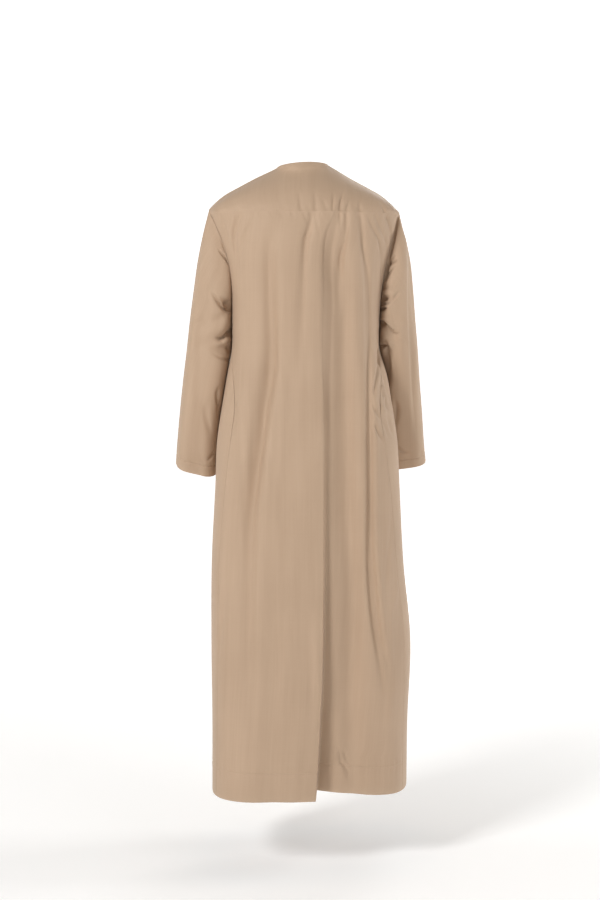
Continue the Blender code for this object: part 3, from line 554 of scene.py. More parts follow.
# %% Tables of the fine creases, in millimetres
# Each row has a crease's widths on the left and right of its line, then the x, z and depth of the line's points.
BACK_CREASES = {
    "left_armhole": (5, 5, (-178, -120, 0), (-167, -160, 2), (-156, -225, 0)),
    "left_valley_line": (10, 5, (-70, -162, 0), (-74, -210, 2), (-73, -308, 2.2), (-72, -440, 2.2),
        (-84, -560, 2), (-98, -679, 1.5), (-113, -789, 1), (-117, -900, 0)),
    "main_valley_top": (6, 12, (73, -120, 1), (55, -162, 3.5), (49, -216, 4), (49, -308, 3), (47, -417, 3),
        (51, -526, 2), (51, -614, 0)),
    "right_line": (4, 5, (123, -111, 0.6), (130, -144, 1.8), (132, -199, 1.5), (143, -253, 1.5), (145, -352, 2),
        (144, -461, 2.2), (148, -636, 2.5), (149, -832, 2.5), (156, -930, 3), (167, -1040, 3), (182, -1092, 2),
        (195, -1160, 0)),
    "right_line_ridge": (5, 8, (152, -308, -0.5), (154, -417, -1.5), (160, -636, -2), (162, -832, -2),
        (171, -963, -2.5), (182, -1051, -2), (197, -1116, 0)),
    "skirt_right_valley": (5, 5, (199, -743, 0), (186, -880, 1.8), (180, -957, 0)),
    "skirt_right_ridge": (5, 6, (217, -865, 0), (206, -941, -1.8), (189, -1003, 0)),
    "skirt_left_ridge": (4, 4, (-178, -909, 0), (-187, -996, -2), (-195, -1075, 0)),
    "skirt_left_valley": (5, 5, (-167, -920, 0), (-178, -1029, 1.5), (-187, -1105, 0)),
    "waist_left_ridge": (8, 8, (-124, -402, 0), (-130, -494, -1.2), (-141, -570, -1.2), (-156, -657, 0)),
    "hip_left_ridge": (7, 7, (-141, -614, 0), (-137, -745, -1.2), (-130, -876, 0)),
    "hip_mid_ridge": (7, 7, (-78, -614, 0), (-78, -723, -1), (-80, -832, 0)),
    "skirt_right_soft": (8, 10, (204, -1127, 0), (191, -1203, -1.6), (182, -1280, 0)),
    "hem_pucker_1": (2.5, 3.5, (73, -1280, 0), (82, -1302, 4.4), (88, -1321, 0)),
    "hem_pucker_2": (2.5, 3.5, (84, -1286, 0), (93, -1304, 4.0), (104, -1326, 0)),
    "hem_pucker_3": (2.5, 3.5, (66, -1306, 0), (82, -1317, 4.4), (97, -1332, 0)),
    "hem_pucker_4": (2.5, 3.5, (88, -1321, 0), (97, -1339, 4.0), (101, -1359, 0)),
    "seam_pucker_1": (3, 3, (-43, -117, 1), (-43, -133, 0)),
    "seam_pucker_2": (3, 3, (-23, -117, 1), (-21, -136, 0)),
    "upper_left_outer": (3, 5, (-137, -114, 0.8), (-148, -144, 2.2), (-152, -177, 2.4), (-148, -205, 2),
        (-145, -238, 1), (-143, -286, 0)),
    "upper_left_inner": (4, 7, (-104, -118, 0), (-119, -149, 2), (-130, -177, 2.2), (-135, -205, 1.5),
        (-137, -275, 0)),
    "centre_line": (4, 6, (14, -114, 1.2), (18, -129, 1.6), (15, -149, 2.2), (7, -177, 2.8), (4, -210, 2.4),
        (3, -243, 1.8), (1, -308, 1.2), (1, -406, 0)),
    "gather_1": (2.5, 3, (2, -114, 1.4), (7, -129, 1.2), (14, -144, 0)),
    "gather_2": (2.5, 3, (29, -114, 1.4), (30, -133, 1.5), (34, -155, 1), (38, -173, 0)),
    "gather_3": (2.5, 3, (82, -114, 2), (82, -133, 1.2), (82, -155, 0)),
    "gather_right_1": (3, 5, (95, -114, 1), (96, -138, 1.8), (93, -173, 2.2), (86, -199, 2.2), (82, -225, 2),
        (84, -253, 1), (86, -286, 0)),
    "gather_right_2": (2.5, 3, (141, -118, 0.5), (147, -138, 1.8), (156, -157, 2.2), (165, -173, 2.4),
        (169, -194, 2.2), (171, -225, 1.8), (171, -264, 1), (169, -308, 0)),
    "gather_right_3": (2.5, 2.5, (154, -114, 0.6), (165, -140, 1.6), (176, -164, 1.8), (183, -188, 1.6),
        (185, -216, 0)),
    "shoulder_line_right": (3, 3, (176, -109, 1), (184, -129, 2.6), (192, -151, 3.2), (194, -177, 2.5),
        (191, -208, 0)),
    "pocket_line_outer": (3, 3, (167, -417, 2.2), (169, -443, 3.8), (176, -465, 3), (182, -494, 3),
        (189, -516, 2.2), (193, -544, 0)),
    "pocket_line_inner": (3, 4, (165, -417, 1.5), (165, -450, 3), (160, -478, 3.3), (157, -505, 3.6),
        (156, -522, 0)),
    "pocket_fold_1": (3, 3, (171, -474, 0), (173, -500, 3), (180, -522, 3.3), (184, -540, 2.2), (189, -550, 0)),
    "pocket_fold_2": (3, 3, (152, -526, 0), (156, -542, 3), (162, -555, 3.3), (169, -564, 1.5), (176, -566, 0)),
    "pocket_fold_3": (3, 3, (158, -572, 0), (160, -585, 3), (165, -599, 3.6), (173, -609, 2.2), (180, -614, 0)),
    "pocket_ridge": (4, 4, (162, -522, 0), (169, -537, -1.5), (178, -550, -1.2), (184, -559, 0)),
    "left_pocket_fold_1": (3, 4, (-161, -435, 2.2), (-156, -457, 2.7), (-152, -478, 1.8), (-148, -500, 0)),
    "left_pocket_fold_2": (3, 4, (-163, -507, 0), (-156, -522, 1.8), (-145, -537, 1.8), (-141, -553, 0)),
}
YOKE_CREASES = {
    "pucker_1": (3, 3.5, (-8, -66, 0), (-6, -90, 1.2), (-4, -105, 1.6), (2, -118, 1.2)),
    "pucker_2": (3, 3.5, (25, -66, 0), (27, -90, 1.3), (28, -107, 1.6), (29, -118, 1.4)),
    "pucker_3": (3, 3.5, (42, -85, 0), (49, -101, 1), (55, -116, 1)),
    "pucker_4": (3, 3.5, (66, -68, 0), (67, -90, 1.5), (66, -105, 1.8), (66, -118, 1.2)),
    "pucker_5": (3, 4, (90, -66, 0), (84, -90, 1.9), (82, -105, 2.3), (82, -118, 2)),
    "pucker_6": (3, 3, (104, -83, 0), (99, -101, 1.2), (94, -118, 1.2)),
    "pucker_7": (3, 3.5, (123, -83, 0), (124, -103, 1), (128, -118, 1)),
    "pucker_8": (2.5, 3, (12, -96, 0), (15, -118, 1.2)),
    "pucker_9": (2.5, 3, (110, -101, 0), (110, -118, 1)),
    "pucker_10": (3, 3, (-36, -101, 0), (-32, -118, 0.8)),
    "shoulder_drag": (3, 3, (169, -92, 0), (176, -107, 1.4), (180, -118, 1.6)),
}
LEFT_SLEEVE_CREASES = {
    "armhole_1": (2.5, 2.5, (-178, -168, 0), (-172, -190, 1.6), (-165, -205, 2.6), (-159, -221, 2.8),
        (-152, -236, 2.4), (-150, -256, 1), (-152, -273, 0)),
    "armhole_2": (2.2, 2.5, (-185, -197, 0), (-176, -208, 1.5), (-167, -218, 2), (-159, -229, 1.8),
        (-152, -240, 0)),
    "elbow_pocket_top": (9, 13, (-150, -319, 6), (-163, -317, 5), (-174, -310, 1.8), (-183, -304, 0)),
    "elbow_line_top": (3, 3.5, (-196, -293, 0), (-191, -304, 1.8), (-185, -315, 2.4), (-178, -323, 2.6),
        (-172, -330, 2.8), (-163, -332, 2.2), (-152, -332, 1.5)),
    "elbow_fold": (3, 9, (-152, -369, 4), (-161, -378, 4.5), (-167, -384, 4.5), (-176, -390, 3.6),
        (-183, -393, 2.6), (-189, -400, 0)),
    "elbow_pocket_low": (11, 11, (-154, -413, 3), (-176, -415, 2.4), (-194, -415, 1.2), (-207, -411, 0)),
    "forearm_fold_1": (4, 4, (-198, -424, 0), (-180, -433, 1.2), (-163, -439, 1)),
    "forearm_fold_2": (6, 6, (-209, -526, 0), (-211, -553, 1.2), (-207, -579, 1.2), (-202, -605, 0)),
    "forearm_fold_3": (3, 5, (-183, -494, 0), (-187, -516, 1.4), (-185, -537, 1), (-185, -570, 0)),
    "long_fold": (14, 14, (-213, -177, 0), (-218, -308, 1.6), (-226, -439, 1.6), (-233, -570, 0)),
    "cuff_fold_1": (2.5, 2.5, (-220, -649, 0), (-218, -660, 1), (-215, -666, 0)),
    "cuff_fold_2": (2.5, 2.5, (-194, -642, 1.5), (-202, -651, 1.2), (-211, -662, 0)),
    "outer_fold": (10, 10, (-246, -374, 0), (-250, -483, 1.2), (-255, -592, 0)),
}
RIGHT_SLEEVE_CREASES = {
    "armhole_line": (3, 3, (211, -120, 0.5), (206, -140, 2), (201, -166, 2.4), (193, -199, 2), (186, -225, 1.6),
        (180, -256, 1.2), (176, -282, 0)),
    "fan_1": (2.5, 2.5, (182, -245, 2.6), (186, -234, 2.6), (193, -227, 2), (200, -224, 1.6), (208, -221, 0)),
    "fan_2": (2.2, 2.2, (184, -232, 1.8), (190, -223, 1.4), (196, -216, 1), (204, -211, 0)),
    "fan_3": (2.2, 2.2, (181, -253, 2.2), (189, -247, 1.8), (195, -241, 1.2), (204, -235, 0)),
    "fan_4": (2, 2, (180, -262, 1.6), (186, -256, 1.2), (194, -249, 0)),
    "arm_soft": (4, 4, (176, -282, 1), (191, -282, 1), (211, -277, 0)),
    "elbow_pocket_top": (5, 8, (169, -306, 4), (180, -306, 3.4), (191, -304, 1.4), (200, -299, 0)),
    "elbow_line_top": (2.5, 4, (169, -318, 2.4), (182, -317, 2.2), (193, -312, 1.8), (202, -304, 1.2),
        (213, -291, 0)),
    "elbow_spot": (3, 3, (167, -327, 4), (178, -327, 2.4), (186, -328, 0)),
    "elbow_fold": (8, 2.5, (165, -352, 4.5), (176, -358, 4.6), (184, -367, 4.2), (193, -376, 3.4),
        (202, -383, 2.4), (211, -389, 0)),
    "elbow_pocket_low": (7, 7, (178, -402, 2.4), (182, -422, 3), (184, -443, 3), (186, -470, 2), (191, -500, 0)),
    "forearm_line": (3, 4, (171, -409, 3), (182, -413, 2), (191, -422, 1), (195, -439, 0)),
    "forearm_soft": (6, 6, (200, -522, 0), (204, -544, 1.8), (204, -561, 1.6), (204, -583, 0)),
    "long_fold": (5, 12, (230, -177, 0), (235, -243, 1.5), (235, -308, 1.8), (237, -406, 1.5), (243, -526, 1.2),
        (250, -614, 0)),
    "cuff_fold": (3, 3, (206, -631, 1.2), (219, -640, 1.2), (235, -640, 0)),
}
POCKET_CREASES = {
    "pocket_line_outer": (3, 3, (167, -417, 1.5), (169, -443, 2.5), (176, -465, 2), (182, -494, 2),
        (189, -516, 1.5), (193, -544, 0)),
    "pocket_fold_1": (3, 3, (171, -474, 0), (173, -500, 2), (180, -522, 2.2), (184, -540, 1.5), (189, -550, 0)),
    "pocket_fold_4": (3, 3, (182, -553, 0), (189, -570, 1.6), (193, -588, 1.6), (197, -605, 0)),
    "pocket_fold_5": (3, 3, (171, -566, 0), (180, -581, 1.4), (186, -599, 1.2), (191, -614, 0)),
    "pocket_ridge": (4, 4, (162, -522, 0), (169, -537, -1.5), (178, -550, -1.2), (184, -559, 0)),
}
all_drawn = (BACK_CREASES, YOKE_CREASES, LEFT_SLEEVE_CREASES, RIGHT_SLEEVE_CREASES, POCKET_CREASES)
print("fine creases drawn by hand:", sum(map(len, all_drawn)))

# %% [markdown]
# ## Creases that nobody planned
# Between the drawn creases real cloth has faint ones. They come from a seeded random generator, so that the robe is
# the same each time, and they are long, narrow and nearly upright, because the cloth hangs from the shoulders.

# %% Faint creases, in millimetres
FAINT_LENGTHS, FAINT_WIDTHS = (110, 380), (5, 14)
FAINT_SLANT, FAINT_BOW = 9, 0.4  # how far the lower end strays sideways, and the middle's share of it
FAINT_SHALLOWEST = 0.25
FAINT_UNEVEN = (0.8, 1.5)  # the right side's width against the left side's


def faint_creases(seed, count, across, upright, deepest):
    """Long shallow creases and ridges in a range of x and z."""
    chance = np.random.default_rng(seed)
    found = []
    for _ in range(count):
        x, top, long = chance.uniform(*across), chance.uniform(*upright), chance.uniform(*FAINT_LENGTHS)
        slant, depth = chance.normal(0, FAINT_SLANT), chance.uniform(FAINT_SHALLOWEST, deepest)
        depth *= chance.choice((-1.0, 1.0))
        width = chance.uniform(*FAINT_WIDTHS)
        path = (x, top, 0), (x + slant * FAINT_BOW, top - long / 2, depth), (x + slant, top - long, 0)
        found.append((width, width * chance.uniform(*FAINT_UNEVEN), *path))
    return found


BODY_ACROSS = (-190, 225)
BACK_FAINT = faint_creases(seed=3, count=40, across=BODY_ACROSS, upright=(-1150, -150), deepest=1.5)
FRONT_FAINT = faint_creases(seed=5, count=40, across=BODY_ACROSS, upright=(-1150, -170), deepest=1.2)
print("faint creases:", len(BACK_FAINT), "behind and", len(FRONT_FAINT), "in front")

# %% [markdown]
# ## Pressing the creases in
# The creases behind are drawn as the camera sees them, so each point of a panel is first carried on to the picture
# plane along its line of sight. A crease then pushes the points near its line in, at right angles to the cloth. It
# fades out where the cloth turns away, because a flat drawing has nothing to say there.

# %% Press creases into a grid
CAMERA_PLACE = np.array([-0.0057, -3.8, -0.45])
PICTURE_Y = -0.14  # the picture plane on which the creases behind are drawn
CREASE_STEPS = 5  # straight pieces between two drawn points of a crease's smooth line
CREASE_REACH = 3.0  # beyond this many widths a crease moves nothing
FULL_FACING = 0.25  # a crease is at full depth where the cloth's outward direction leans this much to its side


def grid_normals(grid):
    """Outward unit normals at a grid's points. A tube's first and last columns are the same line."""
    tube = np.allclose(grid[:, 0], grid[:, -1])
    work = np.concatenate([grid[:, -2:-1], grid, grid[:, 1:2]], axis=1) if tube else grid
    normals = np.cross(np.gradient(work, axis=1), np.gradient(work, axis=0))
    normals = normals[:, 1:-1] if tube else normals
    return normals / np.linalg.norm(normals, axis=-1)[..., None]


def on_picture(points):
    """x and z of points where they show on the picture plane."""
    share = (PICTURE_Y - CAMERA_PLACE[1]) / (points[..., 1] - CAMERA_PLACE[1])
    eye = CAMERA_PLACE[[0, 2]]
    return eye + (points[..., [0, 2]] - eye) * share[..., None]


def crease_depth(spots, path, left, right):
    """How deep a crease is at the given spots of the picture, all in metres."""
    start, step = path[:-1, :2], np.diff(path[:, :2], axis=0)
    off = spots[:, None, :] - start[None]
    share = np.clip((off * step).sum(axis=2) / (step**2).sum(axis=1), 0.0, 1.0)
    gap = off - share[..., None] * step
    distance = np.hypot(gap[..., 0], gap[..., 1])
    nearest, row = distance.argmin(axis=1), np.arange(len(spots))
    turn = step[nearest, 0] * off[row, nearest, 1] - step[nearest, 1] * off[row, nearest, 0]
    width = np.where(turn > 0, right, left)
    deep = path[nearest, 2] + share[row, nearest] * (path[nearest + 1, 2] - path[nearest, 2])
    return deep * np.exp(-((distance[row, nearest] / width) ** 2))


def pressed(grid, creases, side, calm=1.0):
    """The grid with the creases pressed into the points that face back (side -1) or forward (side 1)."""
    normals = grid_normals(grid)
    facing = smooth_step(side * normals[..., 1] / FULL_FACING)
    spots = on_picture(grid) if side < 0 else grid[..., [0, 2]]
    depth = np.zeros(grid.shape[:2])
    for left, right, *line in creases:
        left, right, drawn = left / 1000.0, right / 1000.0, np.array(line, float) / 1000.0
        path = smooth_line(drawn, np.linspace(0, len(drawn) - 1, CREASE_STEPS * (len(drawn) - 1) + 1))
        reach = CREASE_REACH * max(left, right)
        low, high = path[:, :2].min(axis=0) - reach, path[:, :2].max(axis=0) + reach
        near = ((spots > low) & (spots < high)).all(axis=-1) & (facing > 0)
        if near.any():
            depth[near] += crease_depth(spots[near], path, left, right)
    return grid - normals * (depth * facing * calm)[..., None]


print("the picture plane lies", round(PICTURE_Y - CAMERA_PLACE[1], 2), "m from the camera")

# %% [markdown]
# ## Sewing
# A line of stitches pulls cloth in: it leaves a narrow groove and small puckers on both sides of it. A seam is calm at
# its very line, because there the cloth is doubled and held, so most creases fade to nothing at the seams. At a seam
# that shows, each panel's edge turns in over about its last half millimetre, which draws a fine dark line.

# %% Sewing helpers
EDGES = {"bottom": (0, False), "top": (0, True), "first": (1, False), "last": (1, True)}
ROLL = ((0.0, 0.0003), (0.0005, 0.0001))  # distance from the edge, and how far in
SEAM_CALM = 0.006  # creases are at full depth this far from a seam
GROOVE, GROOVE_WIDTH = 0.0006, 0.0013
PUCKER, PUCKER_REACH = 0.0005, 0.013
PUCKER_WAVES, PUCKER_LENGTHS = 5, (0.012, 0.038)  # how many waves are added up, and how long they are
WAVE_SHARES, WAVE_STARTS = (0.5, 1.0), (0, 6.3)
STITCH_HOLD = 0.004  # puckers are at full depth this far from the stitches


def edge_distances(grid, edge):
    """Each point's distance along the cloth from the named edge."""
    axis, last = EDGES[edge]
    rows = np.moveaxis(grid, axis, 0)
    rows = rows[::-1] if last else rows
    steps = np.linalg.norm(np.diff(rows, axis=0), axis=-1)
    far = np.concatenate([np.zeros_like(steps[:1]), np.cumsum(steps, axis=0)])
    return np.moveaxis(far[::-1] if last else far, 0, axis)


def calm_at(grid, *edges):
    """1 over most of the grid, falling to 0 at the named edges."""
    calm = np.ones(grid.shape[:2])
    for edge in edges:
        calm = calm * smooth_step(edge_distances(grid, edge) / SEAM_CALM)
    return calm


def sewn(grid, gap, along, seed, groove=GROOVE, pucker=PUCKER):
    """Cloth pulled in along a line of stitches, from each point's distance to the line and place along it."""
    chance = np.random.default_rng(seed)
    waves = []
    for _ in range(PUCKER_WAVES):
        share, length, start = (chance.uniform(*limits) for limits in (WAVE_SHARES, PUCKER_LENGTHS, WAVE_STARTS))
        waves.append(share * np.sin(2 * math.pi * along / length + start))
    hold = smooth_step(np.abs(gap) / STITCH_HOLD)
    depth = groove * np.exp(-((gap / GROOVE_WIDTH) ** 2))
    depth = depth + pucker * hold * sum(waves) / 2 * np.exp(-((gap / PUCKER_REACH) ** 2))
    return grid - grid_normals(grid) * depth[..., None]


def sides_sewn(grid, up, seed):
    """Cloth puckered along both of its side seams."""
    for number, edge in enumerate(("first", "last")):
        grid = sewn(grid, edge_distances(grid, edge), up, seed + number, groove=0.0)
    return grid


def rolled(grid, *edges):
    """Turns the named edges in with a few close rows or columns of points."""
    for edge in edges:
        axis, last = EDGES[edge]
        rows, outs = (np.moveaxis(part, axis, 0) for part in (grid, grid_normals(grid)))
        if last:
            rows, outs = rows[::-1], outs[::-1]
        step = rows[1] - rows[0]
        step = step / np.linalg.norm(step, axis=-1)[..., None]
        close = [rows[0] + step * gap - outs[0] * depth for gap, depth in ROLL]
        rows = np.concatenate([close, rows[1:]])
        grid = np.moveaxis(rows[::-1] if last else rows, 0, axis)
    return grid


def pulled_in(grid, **insets):
    """The grid with each named edge moved in by its inset, so that it stops short of its seam."""
    grid = grid.copy()
    for edge, inset in insets.items():
        axis, last = EDGES[edge]
        rows = np.moveaxis(grid, axis, 0)
        edge_row, inner = (-1, -2) if last else (0, 1)
        step = rows[inner] - rows[edge_row]
        rows[edge_row] += inset * step / np.linalg.norm(step, axis=-1)[..., None]
    return grid


print("a groove is", GROOVE * 1000, "mm deep, and an edge turns in by", ROLL[0][1] * 1000, "mm")

# %% [markdown]
# ## A piece of cloth from a grid
# Blender's grid primitive makes the vertices and faces. Its vertices are then moved to the panel's points. The cloth
# keeps a UV map in metres, so that the weave runs with the cloth, and an attribute that is 1 at worn edges. Solidify
# gives the thickness inwards, because the grid is the outer face.

# %% Cloth maker
CLOTH_THICK = 0.0009
WEAR_REACH = 0.006  # how far wear spreads in from a rubbed edge
WELD = 1e-6  # points closer than this become one


def placed(name, data):
    """A new object in the scene, for a mesh, a lamp or a camera."""
    made = bpy.data.objects.new(name, data)
    bpy.context.scene.collection.objects.link(made)
    return made


def mesh_piece(name, body):
    """A smooth-shaded object from a bmesh, which is used up."""
    mesh = bpy.data.meshes.new(name)
    body.to_mesh(mesh)
    body.free()
    mesh.shade_smooth()
    return placed(name, mesh)


def cloth_uv(grid):
    """Places on the flat cloth in metres: across from the middle column, and up from the first row."""
    across = edge_distances(grid, "first")
    middle = grid.shape[1] // 2
    up = edge_distances(grid, "bottom")[:, middle : middle + 1]
    return np.stack([across - across[:, middle : middle + 1], np.broadcast_to(up, across.shape)], axis=-1)


def cloth_piece(name, grid, worn=(), cut=None, thick=CLOTH_THICK):
    """A sheet of cloth: worn names the edges that rub, and cut the one that meets its neighbour square."""
    rows, columns = grid.shape[:2]
    tube = np.allclose(grid[:, 0], grid[:, -1])
    body = bmesh.new()
    bmesh.ops.create_grid(body, x_segments=columns - 1, y_segments=rows - 1, size=0.5)
    body.verts.index_update()
    for vertex, place in zip(body.verts, grid.reshape(-1, 3).tolist()):
        vertex.co = place
    places = cloth_uv(grid).reshape(-1, 2).tolist()
    layer = body.loops.layers.uv.new("cloth")
    for face in body.faces:
        for corner in face.loops:
            corner[layer].uv = places[corner.vert.index]
    rub = np.zeros(grid.shape[:2])
    for edge in worn:
        rub = np.maximum(rub, np.exp(-edge_distances(grid, edge) / WEAR_REACH))
    mark = body.verts.layers.float.new("edge_wear")
    for vertex, amount in zip(body.verts, rub.ravel().tolist()):
        vertex[mark] = amount
    if cut:
        line = set(range(columns)) if cut == "bottom" else set(range((rows - 1) * columns, rows * columns))
        for edge in body.edges:
            edge.smooth = not line.issuperset(vertex.index for vertex in edge.verts)
    if tube:
        bmesh.ops.remove_doubles(body, verts=body.verts, dist=WELD)
    piece = mesh_piece(name, body)
    wall = piece.modifiers.new("thickness", "SOLIDIFY")
    wall.thickness = thick
    wall.offset = -1.0
    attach(piece, "root")
    steps = np.linalg.norm(np.cross(np.diff(grid, axis=0)[:, :-1], np.diff(grid, axis=1)[:-1]), axis=-1)
    wide, long = edge_distances(grid, "first")[:, -1], edge_distances(grid, "bottom")[-1]
    print(f"{name}: {wide.max():.3f} m wide at most, {long.max():.3f} m long, {steps.sum():.3f} m2 of cloth")
    return piece


print("the cloth is", CLOTH_THICK * 1000, "mm thick")

# %% [markdown]
# ## The back
# The back hangs from the yoke. Its top edge is a little gathered into the yoke seam, its hem is turned up six
# centimetres and stitched once, and its side edges meet the front in plain seams. The drawn creases came out too soft
# in the first renders, so they are pressed in harder by one number for the whole panel.

# %% Back panel
SEAM_INSET = 0.0001  # how far a panel's edge stops short of its seam
YOKE_INSET = 0.00002  # the yoke's seam is pressed flat and hardly shows
BACK_STRENGTH = 1.35  # how strongly the drawn creases are pressed in
back_calm = BACK_STRENGTH * calm_at(back_rows, "top", "first", "last")
back_grid = pressed(back_rows, [*BACK_CREASES.values(), *BACK_FAINT], -1, back_calm)
across = edge_distances(back_grid, "first")
up = np.broadcast_to(heights[:, None], back_grid.shape[:2])
back_grid = sewn(back_grid, up - HEM_STITCH_Z, across, seed=11)
back_grid = sewn(back_grid, edge_distances(back_grid, "top"), across, seed=12, groove=0.0)
back_grid = sides_sewn(back_grid, up, seed=13)
back_panel = pulled_in(back_grid, first=SEAM_INSET, last=SEAM_INSET, top=YOKE_INSET)
back = cloth_piece("cloth_back", rolled(back_panel, "bottom", "first", "last"), ("bottom",), cut="top")

# %% [markdown]
# ## The yoke
# The yoke is one smooth piece across the top of the back. It is flat, except for the short pulls that the gathers below
# it send up across the seam. The seam itself is pressed so flat that only these pulls show where it is, so the yoke's
# and the back's edges are cut square and all but touch. The neckline's corners would draw kinks down the yoke, and
# each of its rows is smoothed sideways to ease them out.

# %% Yoke
YOKE_CALM = 0.002  # the pulls are at full depth this far above the seam
YOKE_STRENGTH = 1.8
YOKE_PUCKER = 0.0003
SHOULDER_INSET = 0.0002
EASE_COLUMNS, EASE_REACH = 26, 0.030  # the smoothing's widest reach, and how far from the edges it is full


def eased(grid):
    """Cloth smoothed sideways between its two edges, so that a corner in an edge doesn't run down the cloth."""
    from_top, from_bottom = (smooth_step(edge_distances(grid, edge) / EASE_REACH) for edge in ("top", "bottom"))
    halves = np.rint(EASE_COLUMNS * (from_top * from_bottom).mean(axis=1)).astype(int)
    rows = []
    for row, half in zip(grid, halves):
        if half:
            weights = np.hanning(2 * half + 3)[1:-1]
            weights = weights / weights.sum()
            padded = np.pad(row, ((half, half), (0, 0)), mode="reflect", reflect_type="odd")
            row = np.stack([np.convolve(padded[:, k], weights, mode="valid") for k in range(3)], axis=-1)
        rows.append(row)
    return np.stack(rows)


yoke_rows = eased(yoke_rows)
seam_calm = smooth_step(edge_distances(yoke_rows, "bottom") / YOKE_CALM)
yoke_calm = YOKE_STRENGTH * calm_at(yoke_rows, "top", "first", "last") * seam_calm
yoke_grid = pressed(yoke_rows, YOKE_CREASES.values(), -1, yoke_calm)
from_seam, yoke_across = edge_distances(yoke_grid, "bottom"), edge_distances(yoke_grid, "first")
yoke_grid = sewn(yoke_grid, from_seam, yoke_across, seed=21, groove=0.0, pucker=YOKE_PUCKER)
yoke_panel = pulled_in(yoke_grid, first=SEAM_INSET, last=SEAM_INSET, bottom=YOKE_INSET, top=SHOULDER_INSET)
yoke = cloth_piece("cloth_yoke", rolled(yoke_panel, "top", "first", "last"), ("top",), cut="bottom")

# %% [markdown]
# ## The front
# The photograph shows the robe from behind only, so the front is built as such a robe is cut: one panel from hem to
# shoulders, with folds like the ones behind and soft drags from the underarms. A few puckers at its right edge show
# from behind, beside the pocket's mouth.

# %% Front panel
POCKET_STRENGTH = 2.4
POCKET_CALM = 0.003  # the pocket's puckers are at full depth this far from its edge
front_calm = calm_at(front_rows, "top", "first", "last")
front_grid = pressed(front_rows, FRONT_FAINT, 1, front_calm)
pocket_calm = smooth_step(edge_distances(front_grid, "first") / POCKET_CALM)
front_grid = pressed(front_grid, POCKET_CREASES.values(), -1, POCKET_STRENGTH * pocket_calm)
front_across, front_up = edge_distances(front_grid, "first"), front_grid[..., 2]
front_grid = sewn(front_grid, front_up - HEM_STITCH_Z, front_across, seed=31)
front_grid = sides_sewn(front_grid, front_up, seed=32)
front_panel = pulled_in(front_grid, first=SEAM_INSET, last=SEAM_INSET, top=SHOULDER_INSET)
front = cloth_piece("cloth_front", rolled(front_panel, "bottom", "top", "first", "last"), ("bottom", "top"))

# %% [markdown]
# ## The sleeves
# Each sleeve is one tube. Its creases gather at the armhole and in the bend of the elbow, and the cuff is a plain
# three-centimetre hem with one line of stitches. The seams with the body have to stay shut, so at the armhole itself
# the creases keep only a small share of their depth.

# %% Sleeves
CUFF_GROOVE = 0.0013  # the cuff's stitches show more than the hem's
SLEEVE_STEP = 0.0002  # how far outside the body's wall a sleeve starts
SLEEVE_STRENGTH = 3.2
SEAM_SHARE = 0.12  # the share of their depth that a sleeve's creases keep at the armhole, so that the seam stays shut
ARMHOLE_CALM = 0.004  # they are at full depth this far from it
SLEEVE_UPRIGHT = (-560, -180)  # the heights between which the faint creases start, in millimetres
Arm = namedtuple("Arm", "out middle_x creases")
ARMS = {"left": Arm(-1, -240, LEFT_SLEEVE_CREASES), "right": Arm(1, 235, RIGHT_SLEEVE_CREASES)}
cloth_sleeves = {}
for number, (name, grid) in enumerate(sleeves.items()):
    arm = ARMS[name]
    near, wide = ((arm.middle_x - half, arm.middle_x + half) for half in (40, 45))
    behind = faint_creases(seed=41 + number, count=12, across=near, upright=SLEEVE_UPRIGHT, deepest=0.9)
    before = faint_creases(seed=51 + number, count=16, across=wide, upright=SLEEVE_UPRIGHT, deepest=1.2)
    from_armhole = smooth_step(edge_distances(grid, "bottom") / ARMHOLE_CALM)
    calm = SLEEVE_STRENGTH * (SEAM_SHARE + (1 - SEAM_SHARE) * from_armhole)
    grid = pressed(grid, [*arm.creases.values(), *behind], -1, calm)
    grid = pressed(grid, before, 1)
    round_it, from_cuff = edge_distances(grid, "first"), edge_distances(grid, "top")
    grid = sewn(grid, from_cuff - from_cuff[CUFF_STITCH_ROW], round_it, seed=61 + number, groove=CUFF_GROOVE)
    grid[:, -1] = grid[:, 0]
    grid[0, :, 0] += SLEEVE_STEP * arm.out
    sleeves[name] = grid
    turned = rolled(grid, "bottom", "top")
    turned[:, -1] = turned[:, 0]
    cloth_sleeves[name] = cloth_piece(f"cloth_sleeve_{name}", turned, ("top",))

# %% [markdown]
# ## Pocket facings
# The pockets' mouths are slits in the side seams. What shows in them is the pocket's facing, a strip of the same cloth
# just inside both edges. It is made from the panels' own outer columns, moved in, so that it follows their folds.

# %% Pocket facings
FACING_GAP = 0.0004
FACING_COLUMNS = (6, 3, 0)  # the columns, counted from a panel's edge, that the facing follows
FACING_LOW_Z, FACING_HIGH_Z = -0.620, -0.366
facing_rows = slice(row_at(FACING_LOW_Z), row_at(FACING_HIGH_Z) + 1)


def pocket_facing(name, first, second):
    """A strip inside the edges of two panels that meet: the last columns of one and the first of the other."""
    strips = []
    for grid, columns in ((first, [-1 - k for k in FACING_COLUMNS]), (second, FACING_COLUMNS[::-1])):
        inside = grid - grid_normals(grid) * (CLOTH_THICK + FACING_GAP)
        strips += [inside[facing_rows, column] for column in columns]
    return cloth_piece(name, np.stack(strips, axis=1))


facings = {
    "left": pocket_facing("pocket_facing_cloth_left", front_grid, back_grid),
    "right": pocket_facing("pocket_facing_cloth_right", back_grid, front_grid),
}

# %% [markdown]
# ## The placket
# The short opening at the neck closes with a placket: a band of doubled cloth, stitched down along both edges and
# square at its lower end. It lies on the front, so it is made from the front's middle columns, moved out.

